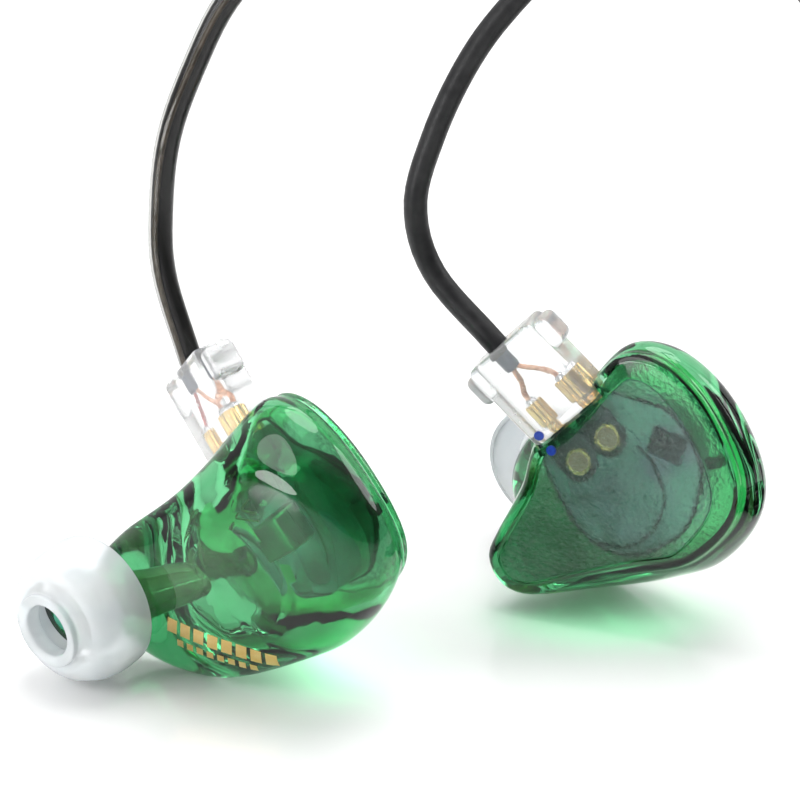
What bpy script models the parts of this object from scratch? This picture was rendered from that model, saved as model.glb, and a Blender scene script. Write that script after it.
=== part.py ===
"""A pair of in-ear monitors with two-pin plugs, ear hooks and one cable.

Lengths are in millimetres and scaled by MM.  Each monitor is drawn in its own frame:
x and y lie in the faceplate, +z points out of the faceplate, away from the ear.
The left monitor is drawn as it is and the right one is its mirror image in x.
"""
import math

import bmesh
import bpy
from mathutils import Matrix, Vector

MM = 0.001
GAP = 0.12                       # clearance between neighbouring pieces
OBJECT_NAME = "in_ear_monitors"
FOOTPRINT_MIDDLE = (0.517, 14.675)             # moved onto the origin when everything is made

# ---- shell and faceplate -------------------------------------------------
WALL = 0.85
PLATE_THICKNESS = 1.0
LOOP_POINTS = 44
PLATE_OUTLINE = [
    (-6.2, 3.7), (-9.4, 0.6), (-10.5, -3.6), (-12.6, -8.0), (-13.5, -10.9), (-11.9, -13.4),
    (-8.8, -13.8), (-4.2, -11.9), (1.3, -9.8), (6.2, -8.0), (9.8, -4.3), (10.9, -0.5),
    (9.6, 3.8), (6.6, 8.2), (2.8, 10.9), (-0.9, 11.0), (-3.4, 8.6)]
OUTLINE_CENTRE = (-0.8, -1.6)
NOZZLE_RADIUS = 2.75
NOZZLE_END = -20.3
# depth, size of the plate outline, share of roundness, centre and radius of the round part
SHELL_SECTIONS = [
    (-1.12, 1.00, 0.00, (-0.8, -1.6), 11.0),
    (-2.3, 1.05, 0.08, (0.4, -2.4), 12.0),
    (-4.4, 1.07, 0.25, (0.4, -3.2), 11.8),
    (-6.6, 1.02, 0.42, (-0.6, -4.2), 11.4),
    (-8.6, 0.90, 0.62, (-2.6, -5.0), 10.5),
    (-10.6, 0.70, 0.85, (-5.4, -6.2), 9.3),
    (-12.2, 0.60, 1.00, (-8.2, -7.3), 8.0),
    (-13.6, 0.50, 1.00, (-10.6, -7.8), 6.5),
    (-14.8, 0.50, 1.00, (-12.9, -7.8), 4.4),
    (-15.7, 0.50, 1.00, (-13.8, -7.4), 3.5),
    (-16.4, 0.50, 1.00, (-14.45, -6.9), NOZZLE_RADIUS),
    (NOZZLE_END, 0.50, 1.00, (-14.15, -6.14), NOZZLE_RADIUS)]

# ---- plug and socket -----------------------------------------------------
PLUG_CENTRE = Vector((-6.2, 3.7, -2.1))      # middle of the mating face
PLUG_ANGLE = math.radians(136.0)             # way the plug points, in the plate's plane
PLUG_TILT = math.radians(10.7)               # how far it leans out of that plane
PLUG_WIDTH = 8.4
PLUG_DEPTH = 4.2
PLUG_LENGTH = 9.5
EAR_START = 5.9
EAR_END = 9.0
EAR_REACH = 1.2
PIN_SPREAD = 1.95                            # each pin's distance from the plug's middle
PIN_HEIGHT = -0.4                            # each pin's height from the plug's middle
PIN_RADIUS = 0.42
PIN_LENGTH = 4.2
BARREL_RADIUS = 1.0
BARREL_LENGTH = 3.5
CONTACT_RADIUS = 0.9
CONTACT_LENGTH = 4.9
CABLE_RADIUS = 1.1
CABLE_ACROSS = -0.7                          # the cable's place across the plug
CABLE_REST = 7.4                             # where the cable starts, along the plug
SOCKET_TOP = -1.15
SOCKET_BOTTOM = -5.0
SOCKET_OUTLINE = [
    (-6.9, -3.6), (-4.1, -7.0), (-0.6, -8.3), (2.6, -7.4), (5.8, -4.6), (6.9, -0.7),
    (6.8, 1.6), (5.4, 4.3), (3.1, 6.3), (0.2, 6.7)]
SOCKET_HALF = 3.9                            # half of its width at the plug
RECESS_CENTRE = (0.3, -3.7)
RECESS_RADIUS = 3.5
DOT_RADIUS = 0.47

# ---- ear tip: distances run along the nozzle from its widest circle ------
TIP_CENTRE = (-14.3, -6.5, -18.4)
NOZZLE_WAY = (0.08, 0.19, -1.0)
TIP_PROFILE = [
    (3.5, 4.3), (4.7, 3.7), (5.75, 2.5), (6.35, 0.9), (6.5, -0.5), (6.25, -2.5),
    (5.75, -2.5), (5.95, -0.5), (5.7, 0.8), (5.05, 1.9), (4.0, 2.6), (3.8, -1.2),
    (2.95, -1.2), (2.95, 2.6), (2.3, 2.9), (2.4, 4.3)]
TIP_STEPS = 32

# ---- inside the shell ----------------------------------------------------
DRIVER_CENTRE = (2.6, 1.2, -6.7)
DRIVER_SIZE = (5.0, 3.4, 2.7)
DRIVER_TURN = math.radians(38.0)
HORN_NARROW = (-2.6, -3.4, -7.4)
HORN_WIDE = (-12.0, -6.9, -13.3)
HORN_RADII = (1.3, 1.85)
HORN_BORE = 0.7
SCREEN_RADIUS = 1.6
SCREEN_CENTRE = (-14.21, -6.29, -19.5)

# ---- cable, in the object's own frame ------------------------------------
CORD_SPACING = 6.2                           # distance between a cord's points
ROUTES = {
    "right": {
        "hook": [(-20.9, 10.5, 35.5), (-21.1, 11.5, 41.5), (-20.3, 12.0, 47.8),
                 (-18.1, 12.5, 53.9), (-15.0, 13.0, 60.0), (-10.5, 13.0, 64.6),
                 (-3.0, 13.0, 67.6), (7.0, 13.2, 68.6), (18.0, 13.4, 67.9), (29.0, 13.5, 64.8)],
        "cord": [(29.3, 13.5, 64.65), (36.5, 13.5, 60.0), (41.2, 13.2, 50.0),
                 (43.4, 12.0, 35.0), (44.4, 10.4, 21.0), (45.0, 8.9, 9.5), (45.9, 9.9, 2.6)],
        "turn_radius": 21.7, "turn_start": 176.0},
    "left": {
        "hook": [(3.1, 21.6, 31.6), (1.4, 22.0, 37.9), (3.0, 22.0, 44.5), (5.8, 22.0, 50.9),
                 (9.1, 22.0, 55.9), (13.6, 22.0, 60.4), (20.5, 22.0, 63.2), (28.5, 22.0, 62.9),
                 (35.0, 22.0, 59.6)],
        "cord": [(35.25, 22.0, 59.4), (39.9, 22.0, 53.0), (42.6, 22.0, 42.5), (44.0, 21.4, 30.0),
                 (44.6, 20.4, 17.0), (45.0, 20.6, 7.5), (45.9, 23.4, 2.4)],
        "turn_radius": 24.35, "turn_start": 150.0}}
COIL_CENTRE = (68.0, 14.0)
COIL_INNER = 7.0
COIL_OUTER = 18.0
COIL_BOTTOM = 0.4
COIL_TOP = 4.8
FLOOR_LINE = CABLE_RADIUS + 0.02             # a cord's middle when it lies on the surface
TURN_END = -112.0
SPLITTER_ANGLES = (-115.0, -149.0)
TIE_ANGLE = 20.0

# ---- mini plug on the cable's end ----------------------------------------
MINI_CENTRE = (76.0, -13.2, 2.95)
MINI_WAY = (-1.0, -0.03, 0.0)

# ---- how each monitor stands: place, turn about z, lean, roll ------------
MONITORS = {
    "left": {"side": 1, "place": (20.5, 11.2, 16.18), "turn": -25.8, "lean": -4.4, "roll": 0.0},
    "right": {"side": -1, "place": (-7.0, 2.3, 17.93), "turn": 134.6, "lean": -16.4, "roll": 1.3}}


def clear_scene():
    for item in list(bpy.data.objects):
        bpy.data.objects.remove(item, do_unlink=True)


def make_material(name, colour, roughness, metallic=0.0, alpha=1.0):
    material = bpy.data.materials.new(name)
    material.use_nodes = True
    shader = material.node_tree.nodes["Principled BSDF"]
    shader.inputs["Base Color"].default_value = (*colour, 1.0)
    shader.inputs["Roughness"].default_value = roughness
    shader.inputs["Metallic"].default_value = metallic
    shader.inputs["Alpha"].default_value = alpha
    return material


def smooth_points(points, count, closed):
    """Points spread evenly along a Catmull-Rom curve through the given points."""
    knots = [Vector(point) for point in points]
    if closed:
        knots = [knots[-1]] + knots + knots[:2]
    else:
        knots = [2 * knots[0] - knots[1]] + knots + [2 * knots[-1] - knots[-2]]
    fine = []
    steps = 24
    for index in range(1, len(knots) - 2):
        before, start, end, after = knots[index - 1:index + 3]
        for step in range(steps):
            t = step / steps
            fine.append(0.5 * (2 * start + (end - before) * t
                               + (2 * before - 5 * start + 4 * end - after) * t ** 2
                               + (3 * start - before - 3 * end + after) * t ** 3))
    fine.append(knots[-2].copy())
    lengths = [0.0]
    for first, second in zip(fine, fine[1:]):
        lengths.append(lengths[-1] + (second - first).length)
    spans = count if closed else count - 1
    result = []
    index = 0
    for step in range(count):
        goal = lengths[-1] * step / spans
        while index < len(fine) - 2 and lengths[index + 1] < goal:
            index += 1
        share = (goal - lengths[index]) / max(lengths[index + 1] - lengths[index], 1e-9)
        result.append(fine[index].lerp(fine[index + 1], share))
    return result


class Builder:
    """Adds objects to the scene under one parent, with x mirrored where side is -1."""

    def __init__(self, collection, cutters, parent, side=1, inverse=None):
        self.collection = collection
        self.cutters = cutters
        self.parent = parent
        self.side = side
        self.inverse = inverse or Matrix()

    def place(self, point):
        return Vector((point[0] * self.side, point[1], point[2])) * MM

    def turn(self, vector):
        return Vector((vector[0] * self.side, vector[1], vector[2]))

    def add(self, name, data, material=None):
        item = bpy.data.objects.new(name, data)
        self.collection.objects.link(item)
        self.adopt(item)
        if material:
            data.materials.append(material)
        return item

    def adopt(self, item):
        item.parent = self.parent
        if self.parent:
            item.matrix_parent_inverse = self.inverse

    def add_mesh(self, name, shape, material=None, smooth=True):
        """Turn a bmesh into an object, with its faces pointing out."""
        shape.normal_update()
        bmesh.ops.recalc_face_normals(shape, faces=shape.faces)
        data = bpy.data.meshes.new(name)
        shape.to_mesh(data)
        shape.free()
        if smooth:
            data.shade_smooth()
            data.set_sharp_from_angle(angle=math.radians(35))
        return self.add(name, data, material)

    def box(self, name, centre, size, axes, material=None):
        """A box whose edges run along the three given axes."""
        shape = bmesh.new()
        bmesh.ops.create_cube(shape, size=1.0)
        for corner in shape.verts:
            place = Vector(centre)
            for axis, length, share in zip(axes, size, corner.co):
                place = place + axis * length * share
            corner.co = self.place(place)
        return self.add_mesh(name, shape, material, smooth=False)

    def rod(self, name, start, end, radius, sides=20, end_radius=None, material=None):
        """A cylinder or cone from start to end, as a primitive turned onto its axis."""
        first, second = self.place(start), self.place(end)
        axis = second - first
        last = radius if end_radius is None else end_radius
        shape = bmesh.new()
        bmesh.ops.create_cone(shape, cap_ends=True, segments=sides, radius1=radius * MM,
                              radius2=last * MM, depth=axis.length)
        turn = axis.to_track_quat("Z", "X").to_matrix().to_4x4()
        bmesh.ops.transform(shape, matrix=Matrix.Translation((first + second) / 2) @ turn,
                            verts=shape.verts)
        return self.add_mesh(name, shape, material)

    def plate(self, name, outline, low, high, material=None):
        """A flat outline raised between two heights."""
        curve = bpy.data.curves.new(name, "CURVE")
        curve.dimensions = "2D"
        curve.fill_mode = "BOTH"
        curve.extrude = (high - low) / 2 * MM
        spline = curve.splines.new("POLY")
        spline.points.add(len(outline) - 1)
        for point, place in zip(spline.points, outline):
            point.co = (place[0] * self.side * MM, place[1] * MM, 0.0, 1.0)
        spline.use_cyclic_u = True
        item = bpy.data.objects.new(name, curve)
        self.collection.objects.link(item)
        solid = to_mesh(item, self.collection)
        solid.data.transform(Matrix.Translation((0, 0, (low + high) / 2 * MM)))
        self.adopt(solid)
        if material:
            solid.data.materials.append(material)
        return solid

    def turned(self, name, profile, steps, centre, direction, material=None):
        """A turned shape; the profile's (radius, height) runs along direction from centre."""
        data = bpy.data.meshes.new(name)
        vertices = [(radius * MM, 0.0, height * MM) for radius, height in profile]
        count = len(vertices)
        edges = [(index, (index + 1) % count) for index in range(count)]
        data.from_pydata(vertices, edges, [])
        item = self.add(name, data, material)
        item.location = self.place(centre)
        item.rotation_mode = "QUATERNION"
        item.rotation_quaternion = self.turn(direction).to_track_quat("Z", "X")
        screw = item.modifiers.new("turned", "SCREW")
        screw.axis = "Z"
        screw.steps = steps
        screw.render_steps = steps
        screw.use_merge_vertices = True
        screw.merge_threshold = 0.00001
        screw.use_smooth_shade = False
        return item

    def turned_solid(self, name, profile, steps, centre, direction, material=None):
        """A turned shape whose profile starts and ends on its axis."""
        item = self.turned(name, profile, steps, centre, direction, material)
        data = item.data
        closing = [edge for edge in data.edges if set(edge.vertices) == {0, len(profile) - 1}]
        shape = bmesh.new()
        shape.from_mesh(data)
        shape.edges.ensure_lookup_table()
        bmesh.ops.delete(shape, geom=[shape.edges[edge.index] for edge in closing],
                         context="EDGES")
        shape.to_mesh(data)
        shape.free()
        return item

    def tube(self, name, points, radius, material=None, resolution=2):
        """A round wire or cord along points, with filled ends."""
        curve = bpy.data.curves.new(name, "CURVE")
        curve.dimensions = "3D"
        curve.bevel_depth = radius * MM
        curve.bevel_resolution = resolution
        curve.use_fill_caps = True
        spline = curve.splines.new("POLY")
        spline.points.add(len(points) - 1)
        for point, place in zip(spline.points, points):
            point.co = (*self.place(place), 1.0)
        return self.add(name, curve, material)

    def cut(self, item, cutter):
        """Take the cutter out of the item."""
        self.join(item, cutter, "DIFFERENCE")

    def join(self, item, tool, operation="UNION"):
        for owner in list(tool.users_collection):
            owner.objects.unlink(tool)
        self.cutters.objects.link(tool)
        tool.hide_render = True
        tool.display_type = "WIRE"
        modifier = item.modifiers.new(operation.lower(), "BOOLEAN")
        modifier.operation = operation
        modifier.solver = "EXACT"
        modifier.object = tool


def to_mesh(item, collection):
    """Replace a curve object with a welded mesh of the same shape."""
    name = item.name
    view = bpy.context.evaluated_depsgraph_get()
    view.update()
    data = bpy.data.meshes.new_from_object(item.evaluated_get(view))
    shape = bmesh.new()
    shape.from_mesh(data)
    bmesh.ops.remove_doubles(shape, verts=shape.verts, dist=0.000005)
    bmesh.ops.recalc_face_normals(shape, faces=shape.faces)
    shape.to_mesh(data)
    shape.free()
    matrix = item.matrix_world.copy()
    bpy.data.objects.remove(item, do_unlink=True)
    solid = bpy.data.objects.new(name, data)
    collection.objects.link(solid)
    solid.matrix_world = matrix
    return solid


def turned_axes(angle):
    """Three axes turned about z."""
    along = Vector((math.cos(angle), math.sin(angle), 0.0))
    across = Vector((math.sin(angle), -math.cos(angle), 0.0))
    return along, across, Vector((0.0, 0.0, 1.0))


def plug_axes():
    """The way the plug points, the way across it and the way out of its broad side."""
    flat, across, out = turned_axes(PLUG_ANGLE)
    along = flat * math.cos(PLUG_TILT) + out * math.sin(PLUG_TILT)
    normal = out * math.cos(PLUG_TILT) - flat * math.sin(PLUG_TILT)
    return along, across, normal


def plug_point(along_distance, across_distance, height=0.0):
    along, across, normal = plug_axes()
    return PLUG_CENTRE + along * along_distance + across * across_distance + normal * height


def cut_seat(builder, item, name):
    """Cut away what would stand in the plug's way, back to the plane it meets."""
    seat = builder.box(name, plug_point(2.97, 0.0, -0.4),
                       (6.06, PLUG_WIDTH + 0.8, PLUG_DEPTH + 1.6), plug_axes())
    builder.cut(item, seat)


def outline_loop():
    flat = [(x, y, 0.0) for x, y in PLATE_OUTLINE]
    return smooth_points(flat, LOOP_POINTS, closed=True)


def section_points(section):
    """One ring of the shell: the plate's outline, drawn towards a circle with depth."""
    depth, size, round_share, centre, radius = section
    middle = Vector((*OUTLINE_CENTRE, 0.0))
    points = []
    for index, point in enumerate(outline_loop()):
        angle = PLUG_ANGLE + math.tau * index / LOOP_POINTS
        grown = middle + (point - middle) * size
        round_point = Vector((centre[0] + radius * math.cos(angle),
                              centre[1] + radius * math.sin(angle), 0.0))
        place = grown.lerp(round_point, round_share)
        points.append(Vector((place.x, place.y, depth)))
    return points


def make_shell(builder, prefix, material):
    """An open loft from the faceplate's edge to the nozzle's end, thickened inwards."""
    name = prefix + "_shell"
    shape = bmesh.new()
    rings = []
    for section in SHELL_SECTIONS:
        rings.append([shape.verts.new(builder.place(point)) for point in section_points(section)])
    for upper, lower in zip(rings, rings[1:]):
        for index in range(LOOP_POINTS):
            after = (index + 1) % LOOP_POINTS
            face = [upper[index], lower[index], lower[after], upper[after]]
            shape.faces.new(face if builder.side > 0 else face[::-1])
    data = bpy.data.meshes.new(name)
    shape.to_mesh(data)
    shape.free()
    data.shade_smooth()
    shell = builder.add(name, data, material)
    solidify = shell.modifiers.new("wall", "SOLIDIFY")
    solidify.thickness = WALL * MM
    solidify.offset = -1.0
    solidify.use_even_offset = True
    opening = builder.box(prefix + "_socket_opening", plug_point(-1.15, 0.0, -1.1),
                          (3.3, PLUG_WIDTH + 0.5, 4.3), plug_axes())
    builder.cut(shell, opening)
    cut_seat(builder, shell, prefix + "_shell_seat")
    return shell


def make_faceplate(builder, prefix, material):
    outline = [(point.x, point.y) for point in outline_loop()]
    plate = builder.plate(prefix + "_faceplate", outline, -PLATE_THICKNESS, 0.0, material)
    edge = plate.modifiers.new("edge", "BEVEL")
    edge.width = 0.22 * MM
    edge.segments = 1
    edge.limit_method = "ANGLE"
    cut_seat(builder, plate, prefix + "_plate_seat")
    return plate


def socket_outline():
    """The socket's tongue, which reaches past the plug's plane until its seat is cut."""
    flat, across, _ = turned_axes(PLUG_ANGLE)
    ends = [PLUG_CENTRE + flat + across * (SOCKET_HALF * side) for side in (-1, 1)]
    curved = [(x, y, 0.0) for x, y in SOCKET_OUTLINE]
    run = [(ends[0].x, ends[0].y, 0.0)] + curved + [(ends[1].x, ends[1].y, 0.0)]
    return [(point.x, point.y) for point in smooth_points(run, 36, closed=False)]


def make_socket(builder, prefix, materials):
    """The block behind the faceplate, with two bored contacts and an oval recess."""
    block = builder.plate(prefix + "_socket_block", socket_outline(), SOCKET_BOTTOM, SOCKET_TOP,
                          materials["smoke"])
    recess = builder.rod(prefix + "_recess", (*RECESS_CENTRE, SOCKET_BOTTOM - 1.0),
                         (*RECESS_CENTRE, SOCKET_TOP - 1.0), RECESS_RADIUS, 28)
    builder.cut(block, recess)
    cut_seat(builder, block, prefix + "_socket_seat")
    for number, across in enumerate((-PIN_SPREAD, PIN_SPREAD), start=1):
        bore = builder.rod(f"{prefix}_contact_bore_{number}", plug_point(1.0, across, PIN_HEIGHT),
                           plug_point(-CONTACT_LENGTH - 2 * GAP, across, PIN_HEIGHT),
                           CONTACT_RADIUS + GAP, 20)
        builder.cut(block, bore)
        make_contact(builder, f"{prefix}_socket_contact_{number}", across, materials["gold"])
    dot = plug_point(-1.2, -2.95)
    builder.rod(prefix + "_socket_dot", (dot.x, dot.y, 0.05), (dot.x, dot.y, 0.2), DOT_RADIUS, 20,
                material=materials["dot"])
    return block


def make_contact(builder, name, across, material):
    """A gold sleeve, open to the pin at one end and closed at the other."""
    bore = PIN_RADIUS + 0.09
    depth = CONTACT_LENGTH - 0.4
    profile = [(0.0, CONTACT_LENGTH), (CONTACT_RADIUS, CONTACT_LENGTH), (CONTACT_RADIUS, 0.0),
               (bore, 0.0), (bore, depth), (0.0, depth)]
    centre = plug_point(-2 * GAP, across, PIN_HEIGHT)
    along = plug_axes()[0]
    return builder.turned_solid(name, profile, 16, centre, -along, material)


def make_driver(builder, prefix, materials):
    """The armature driver, its spout, the horn that leads to the nozzle and the screen."""
    driver = builder.box(prefix + "_driver", DRIVER_CENTRE, DRIVER_SIZE,
                         turned_axes(DRIVER_TURN), materials["steel"])
    edge = driver.modifiers.new("edge", "BEVEL")
    edge.width = 0.3 * MM
    edge.segments = 2
    narrow, wide = Vector(HORN_NARROW), Vector(HORN_WIDE)
    length = (wide - narrow).length
    profile = [(HORN_RADII[1], length), (HORN_RADII[0], 0.0), (HORN_BORE, 0.0),
               (HORN_RADII[1] - 0.5, length)]
    builder.turned(prefix + "_sound_horn", profile, 24, narrow, wide - narrow,
                   materials["clear"])
    way = Vector(NOZZLE_WAY).normalized()
    screen = Vector(SCREEN_CENTRE)
    builder.rod(prefix + "_nozzle_screen", screen, screen + way * 0.3, SCREEN_RADIUS, 24,
                material=materials["steel"])


def make_lead_wires(builder, prefix, material):
    """Two enamelled wires from the contacts to the driver."""
    driver = Vector(DRIVER_CENTRE)
    for number, across in enumerate((-PIN_SPREAD, PIN_SPREAD), start=1):
        start = plug_point(-CONTACT_LENGTH + 1.2, across, -3.2)
        end = driver + Vector((-3.1, -0.8 + 0.9 * number, 0.2))
        route = [start, start + Vector((0.3, -0.5, -1.0)), start.lerp(end, 0.55) + Vector((0, 0, -0.9)),
                 end]
        builder.tube(f"{prefix}_lead_wire_{number}", smooth_points(route, 9, closed=False), 0.14,
                     material, resolution=1)


def make_tip(builder, prefix, material):
    return builder.turned(prefix + "_ear_tip", TIP_PROFILE, TIP_STEPS, TIP_CENTRE,
                          Vector(NOZZLE_WAY), material)


def make_plug(builder, prefix, materials):
    """The moulded plug: a clear body with ears, two gold pins, wires and a side dot."""
    axes = plug_axes()
    body = builder.box(prefix + "_plug_body", plug_point((PLUG_LENGTH + GAP) / 2, 0.0),
                       (PLUG_LENGTH - GAP, PLUG_WIDTH, PLUG_DEPTH), axes, materials["clear"])
    soften = body.modifiers.new("soft edges", "BEVEL")
    soften.width = 0.55 * MM
    soften.segments = 2
    ears = builder.box(prefix + "_plug_ears", plug_point((EAR_START + EAR_END) / 2, 0.0),
                       (EAR_END - EAR_START, PLUG_WIDTH + 2 * EAR_REACH, PLUG_DEPTH - 1.0), axes)
    round_ears = ears.modifiers.new("round ears", "BEVEL")
    round_ears.width = 0.8 * MM
    round_ears.segments = 2
    builder.join(body, ears)
    chamber = builder.box(prefix + "_wire_chamber", plug_point(5.4, 0.0), (4.2, 5.6, 2.2), axes)
    builder.cut(body, chamber)
    entry = builder.rod(prefix + "_cable_bore", plug_point(7.0, CABLE_ACROSS),
                        plug_point(11.0, CABLE_ACROSS), CABLE_RADIUS + GAP, 20)
    builder.cut(body, entry)
    for number, across in enumerate((-PIN_SPREAD, PIN_SPREAD), start=1):
        bore = builder.rod(f"{prefix}_barrel_bore_{number}", plug_point(-1.0, across, PIN_HEIGHT),
                           plug_point(4.0, across, PIN_HEIGHT), BARREL_RADIUS + GAP, 20)
        builder.cut(body, bore)
        make_pin(builder, f"{prefix}_plug_pin_{number}", across, materials["gold"])
        route = [plug_point(BARREL_LENGTH + 0.35, across, PIN_HEIGHT),
                 plug_point(4.6, across * 0.9, -0.1), plug_point(5.6, across * 0.55 - 0.2, -0.25),
                 plug_point(6.6, across * 0.25 - 0.5)]
        builder.tube(f"{prefix}_plug_wire_{number}", smooth_points(route, 9, closed=False), 0.3,
                     materials["wire"], resolution=1)
    builder.rod(prefix + "_plug_dot", plug_point(1.0, -2.9, PLUG_DEPTH / 2 + 0.05),
                plug_point(1.0, -2.9, PLUG_DEPTH / 2 + 0.2), DOT_RADIUS, 20,
                material=materials["dot"])
    return body


def make_pin(builder, name, across, material):
    """A turned pin with its crimp barrel; the profile runs from the barrel's end to the tip."""
    pin_end = -PIN_LENGTH
    profile = [(0.0, BARREL_LENGTH), (BARREL_RADIUS, BARREL_LENGTH), (BARREL_RADIUS, 1.2),
               (0.7, 1.0), (0.7, 0.7), (0.85, 0.6), (0.85, 0.15), (PIN_RADIUS, 0.1),
               (PIN_RADIUS, pin_end + 0.3), (0.2, pin_end), (0.0, pin_end)]
    along = plug_axes()[0]
    return builder.turned_solid(name, profile, 16, plug_point(0.0, across, PIN_HEIGHT), along,
                                material)


def arc_points(radii, angles, heights, count):
    """Points on a spiral about the coil's centre, from the first of each pair to the second."""
    points = []
    for step in range(count):
        share = step / (count - 1)
        radius = radii[0] + (radii[1] - radii[0]) * share
        angle = math.radians(angles[0] + (angles[1] - angles[0]) * share)
        height = heights[0] + (heights[1] - heights[0]) * share
        points.append((COIL_CENTRE[0] + radius * math.cos(angle),
                       COIL_CENTRE[1] + radius * math.sin(angle), height))
    return points


def evenly(route):
    """A cord's points, evenly spaced along the smooth curve through its route."""
    length = sum((Vector(end) - Vector(start)).length for start, end in zip(route, route[1:]))
    return smooth_points(route, max(4, round(length / CORD_SPACING) + 1), closed=False)


def hook_points(prefix):
    """The ear hook's points: straight out of the plug, then along its own route."""
    stand = MONITORS[prefix]
    matrix = monitor_matrix(stand)
    starts = []
    for distance in (CABLE_REST, PLUG_LENGTH + 0.4):
        point = plug_point(distance, CABLE_ACROSS)
        starts.append(matrix @ (Vector((point.x * stand["side"], point.y, point.z)) * MM) / MM)
    return starts[:1] + evenly(starts[1:] + ROUTES[prefix]["hook"])


def make_hook(builder, prefix, material):
    return builder.tube(prefix + "_ear_hook", hook_points(prefix), CABLE_RADIUS, material)


def make_branch(builder, prefix, material):
    """The soft cord: down from its ear hook, then round the coil to the splitter."""
    route = ROUTES[prefix]
    radius = route["turn_radius"]
    around = arc_points((radius, radius), (route["turn_start"], TURN_END), (FLOOR_LINE,) * 2, 12)
    return builder.tube(prefix + "_branch_cord", evenly(route["cord"] + around), CABLE_RADIUS,
                        material)


def splitter_ends():
    middle = (ROUTES["right"]["turn_radius"] + ROUTES["left"]["turn_radius"]) / 2
    return [Vector(arc_points((middle, middle), (angle, angle), (FLOOR_LINE + 0.9,) * 2, 2)[0])
            for angle in SPLITTER_ANGLES]


def make_splitter(builder, material):
    """A moulded block where the two branches become one cord."""
    start, end = splitter_ends()
    way = end - start
    body = builder.box("splitter", (start + end) / 2, (way.length, 6.4, 4.0),
                       turned_axes(math.atan2(way.y, way.x)), material)
    edge = body.modifiers.new("edge", "BEVEL")
    edge.width = 0.9 * MM
    edge.segments = 2
    return body


def make_trunk(builder, material):
    """The trunk: a lead into the coil, the coil's outer shape and a lead to the mini plug."""
    before, start = splitter_ends()
    way = (start - before).normalized()
    lead_in = [start + way * 1.0, start + way * 2.6 - Vector((0.0, 0.0, 0.5))]
    lead_in += arc_points((19.5, 19.3), (-168.0, -200.0), (FLOOR_LINE, FLOOR_LINE), 4)
    builder.tube("trunk_lead_in", evenly(lead_in), CABLE_RADIUS, material)
    top, low = COIL_TOP, COIL_BOTTOM
    profile = [(COIL_OUTER, top - 1.0), (COIL_OUTER, low + 1.0), (COIL_OUTER - 1.0, low),
               (COIL_INNER + 1.0, low), (COIL_INNER, low + 1.0), (COIL_INNER, top - 1.0),
               (COIL_INNER + 1.0, top), (COIL_OUTER - 1.0, top)]
    builder.turned("trunk_coil", profile, 40, (*COIL_CENTRE, 0.0), Vector((0, 0, 1)), material)
    lead_out = [(85.9, 4.8, 3.45), (86.2, 0.2, 3.75), (85.9, -5.2, 4.1), (84.2, -10.0, 3.7),
                (80.6, -12.7, 3.1), (77.6, -13.1, 2.98)]
    builder.tube("trunk_lead_out", evenly(lead_out), CABLE_RADIUS, material)


def make_mini_plug(builder, materials):
    """The 3.5 mm plug: strain relief, barrel, three contacts and two insulators."""
    way = Vector(MINI_WAY).normalized()
    start = Vector(MINI_CENTRE)
    centre = CABLE_RADIUS + GAP
    boot = [(2.1, 8.0), (1.5, 0.0), (centre, 0.0), (centre, 8.0)]
    builder.turned("mini_plug_boot", boot, 20, start, way, materials["rubber"])
    barrel = [(0.0, 22.6), (2.2, 22.6), (2.85, 22.0), (2.85, 8.7), (2.4, 8.15), (0.0, 8.15)]
    builder.turned_solid("mini_plug_barrel", barrel, 28, start, way, materials["shell"])
    place = 22.6 + GAP / 2
    lengths = (("mini_plug_sleeve", 4.6, "gold"), ("mini_plug_insulator_1", 0.8, "dark"),
               ("mini_plug_ring", 2.4, "gold"), ("mini_plug_insulator_2", 0.8, "dark"))
    for name, length, finish in lengths:
        builder.rod(name, start + way * place, start + way * (place + length - GAP / 2), 1.75, 20,
                    material=materials[finish])
        place += length
    tip = [(0.0, place + 4.4), (0.5, place + 4.3), (1.75, place + 2.8), (1.25, place + 1.7),
           (1.75, place + 0.8), (1.75, place), (0.0, place)]
    builder.turned_solid("mini_plug_tip", tip, 20, start, way, materials["gold"])


def make_tie(builder, material):
    """A narrow strap round the coil that keeps its turns together."""
    inner, outer = COIL_INNER - 0.25, COIL_OUTER + 0.25
    middle = Vector(arc_points(((inner + outer) / 2,) * 2, (TIE_ANGLE,) * 2, (0, 0), 2)[0])
    width = outer - inner
    axes = turned_axes(math.radians(TIE_ANGLE))
    centre = (middle.x, middle.y, (COIL_BOTTOM + COIL_TOP) / 2)
    height = COIL_TOP - COIL_BOTTOM
    strap = builder.box("coil_tie", centre, (width + 1.0, 2.6, height + 0.7), axes, material)
    hole = builder.box("tie_opening", centre, (width, 4.0, height + 0.16), axes)
    builder.cut(strap, hole)
    return strap


def monitor_matrix(stand):
    """Where a monitor's frame lies: leaned about x, then turned about z."""
    return (Matrix.Translation(Vector(stand["place"]) * MM)
            @ Matrix.Rotation(math.radians(stand["turn"]), 4, "Z")
            @ Matrix.Rotation(math.radians(90.0 + stand["lean"]), 4, "X")
            @ Matrix.Rotation(math.radians(stand["roll"]), 4, "Z"))


def make_anchor(name, matrix, collection):
    anchor = bpy.data.objects.new(name, None)
    collection.objects.link(anchor)
    anchor.matrix_world = matrix
    return anchor


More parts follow.
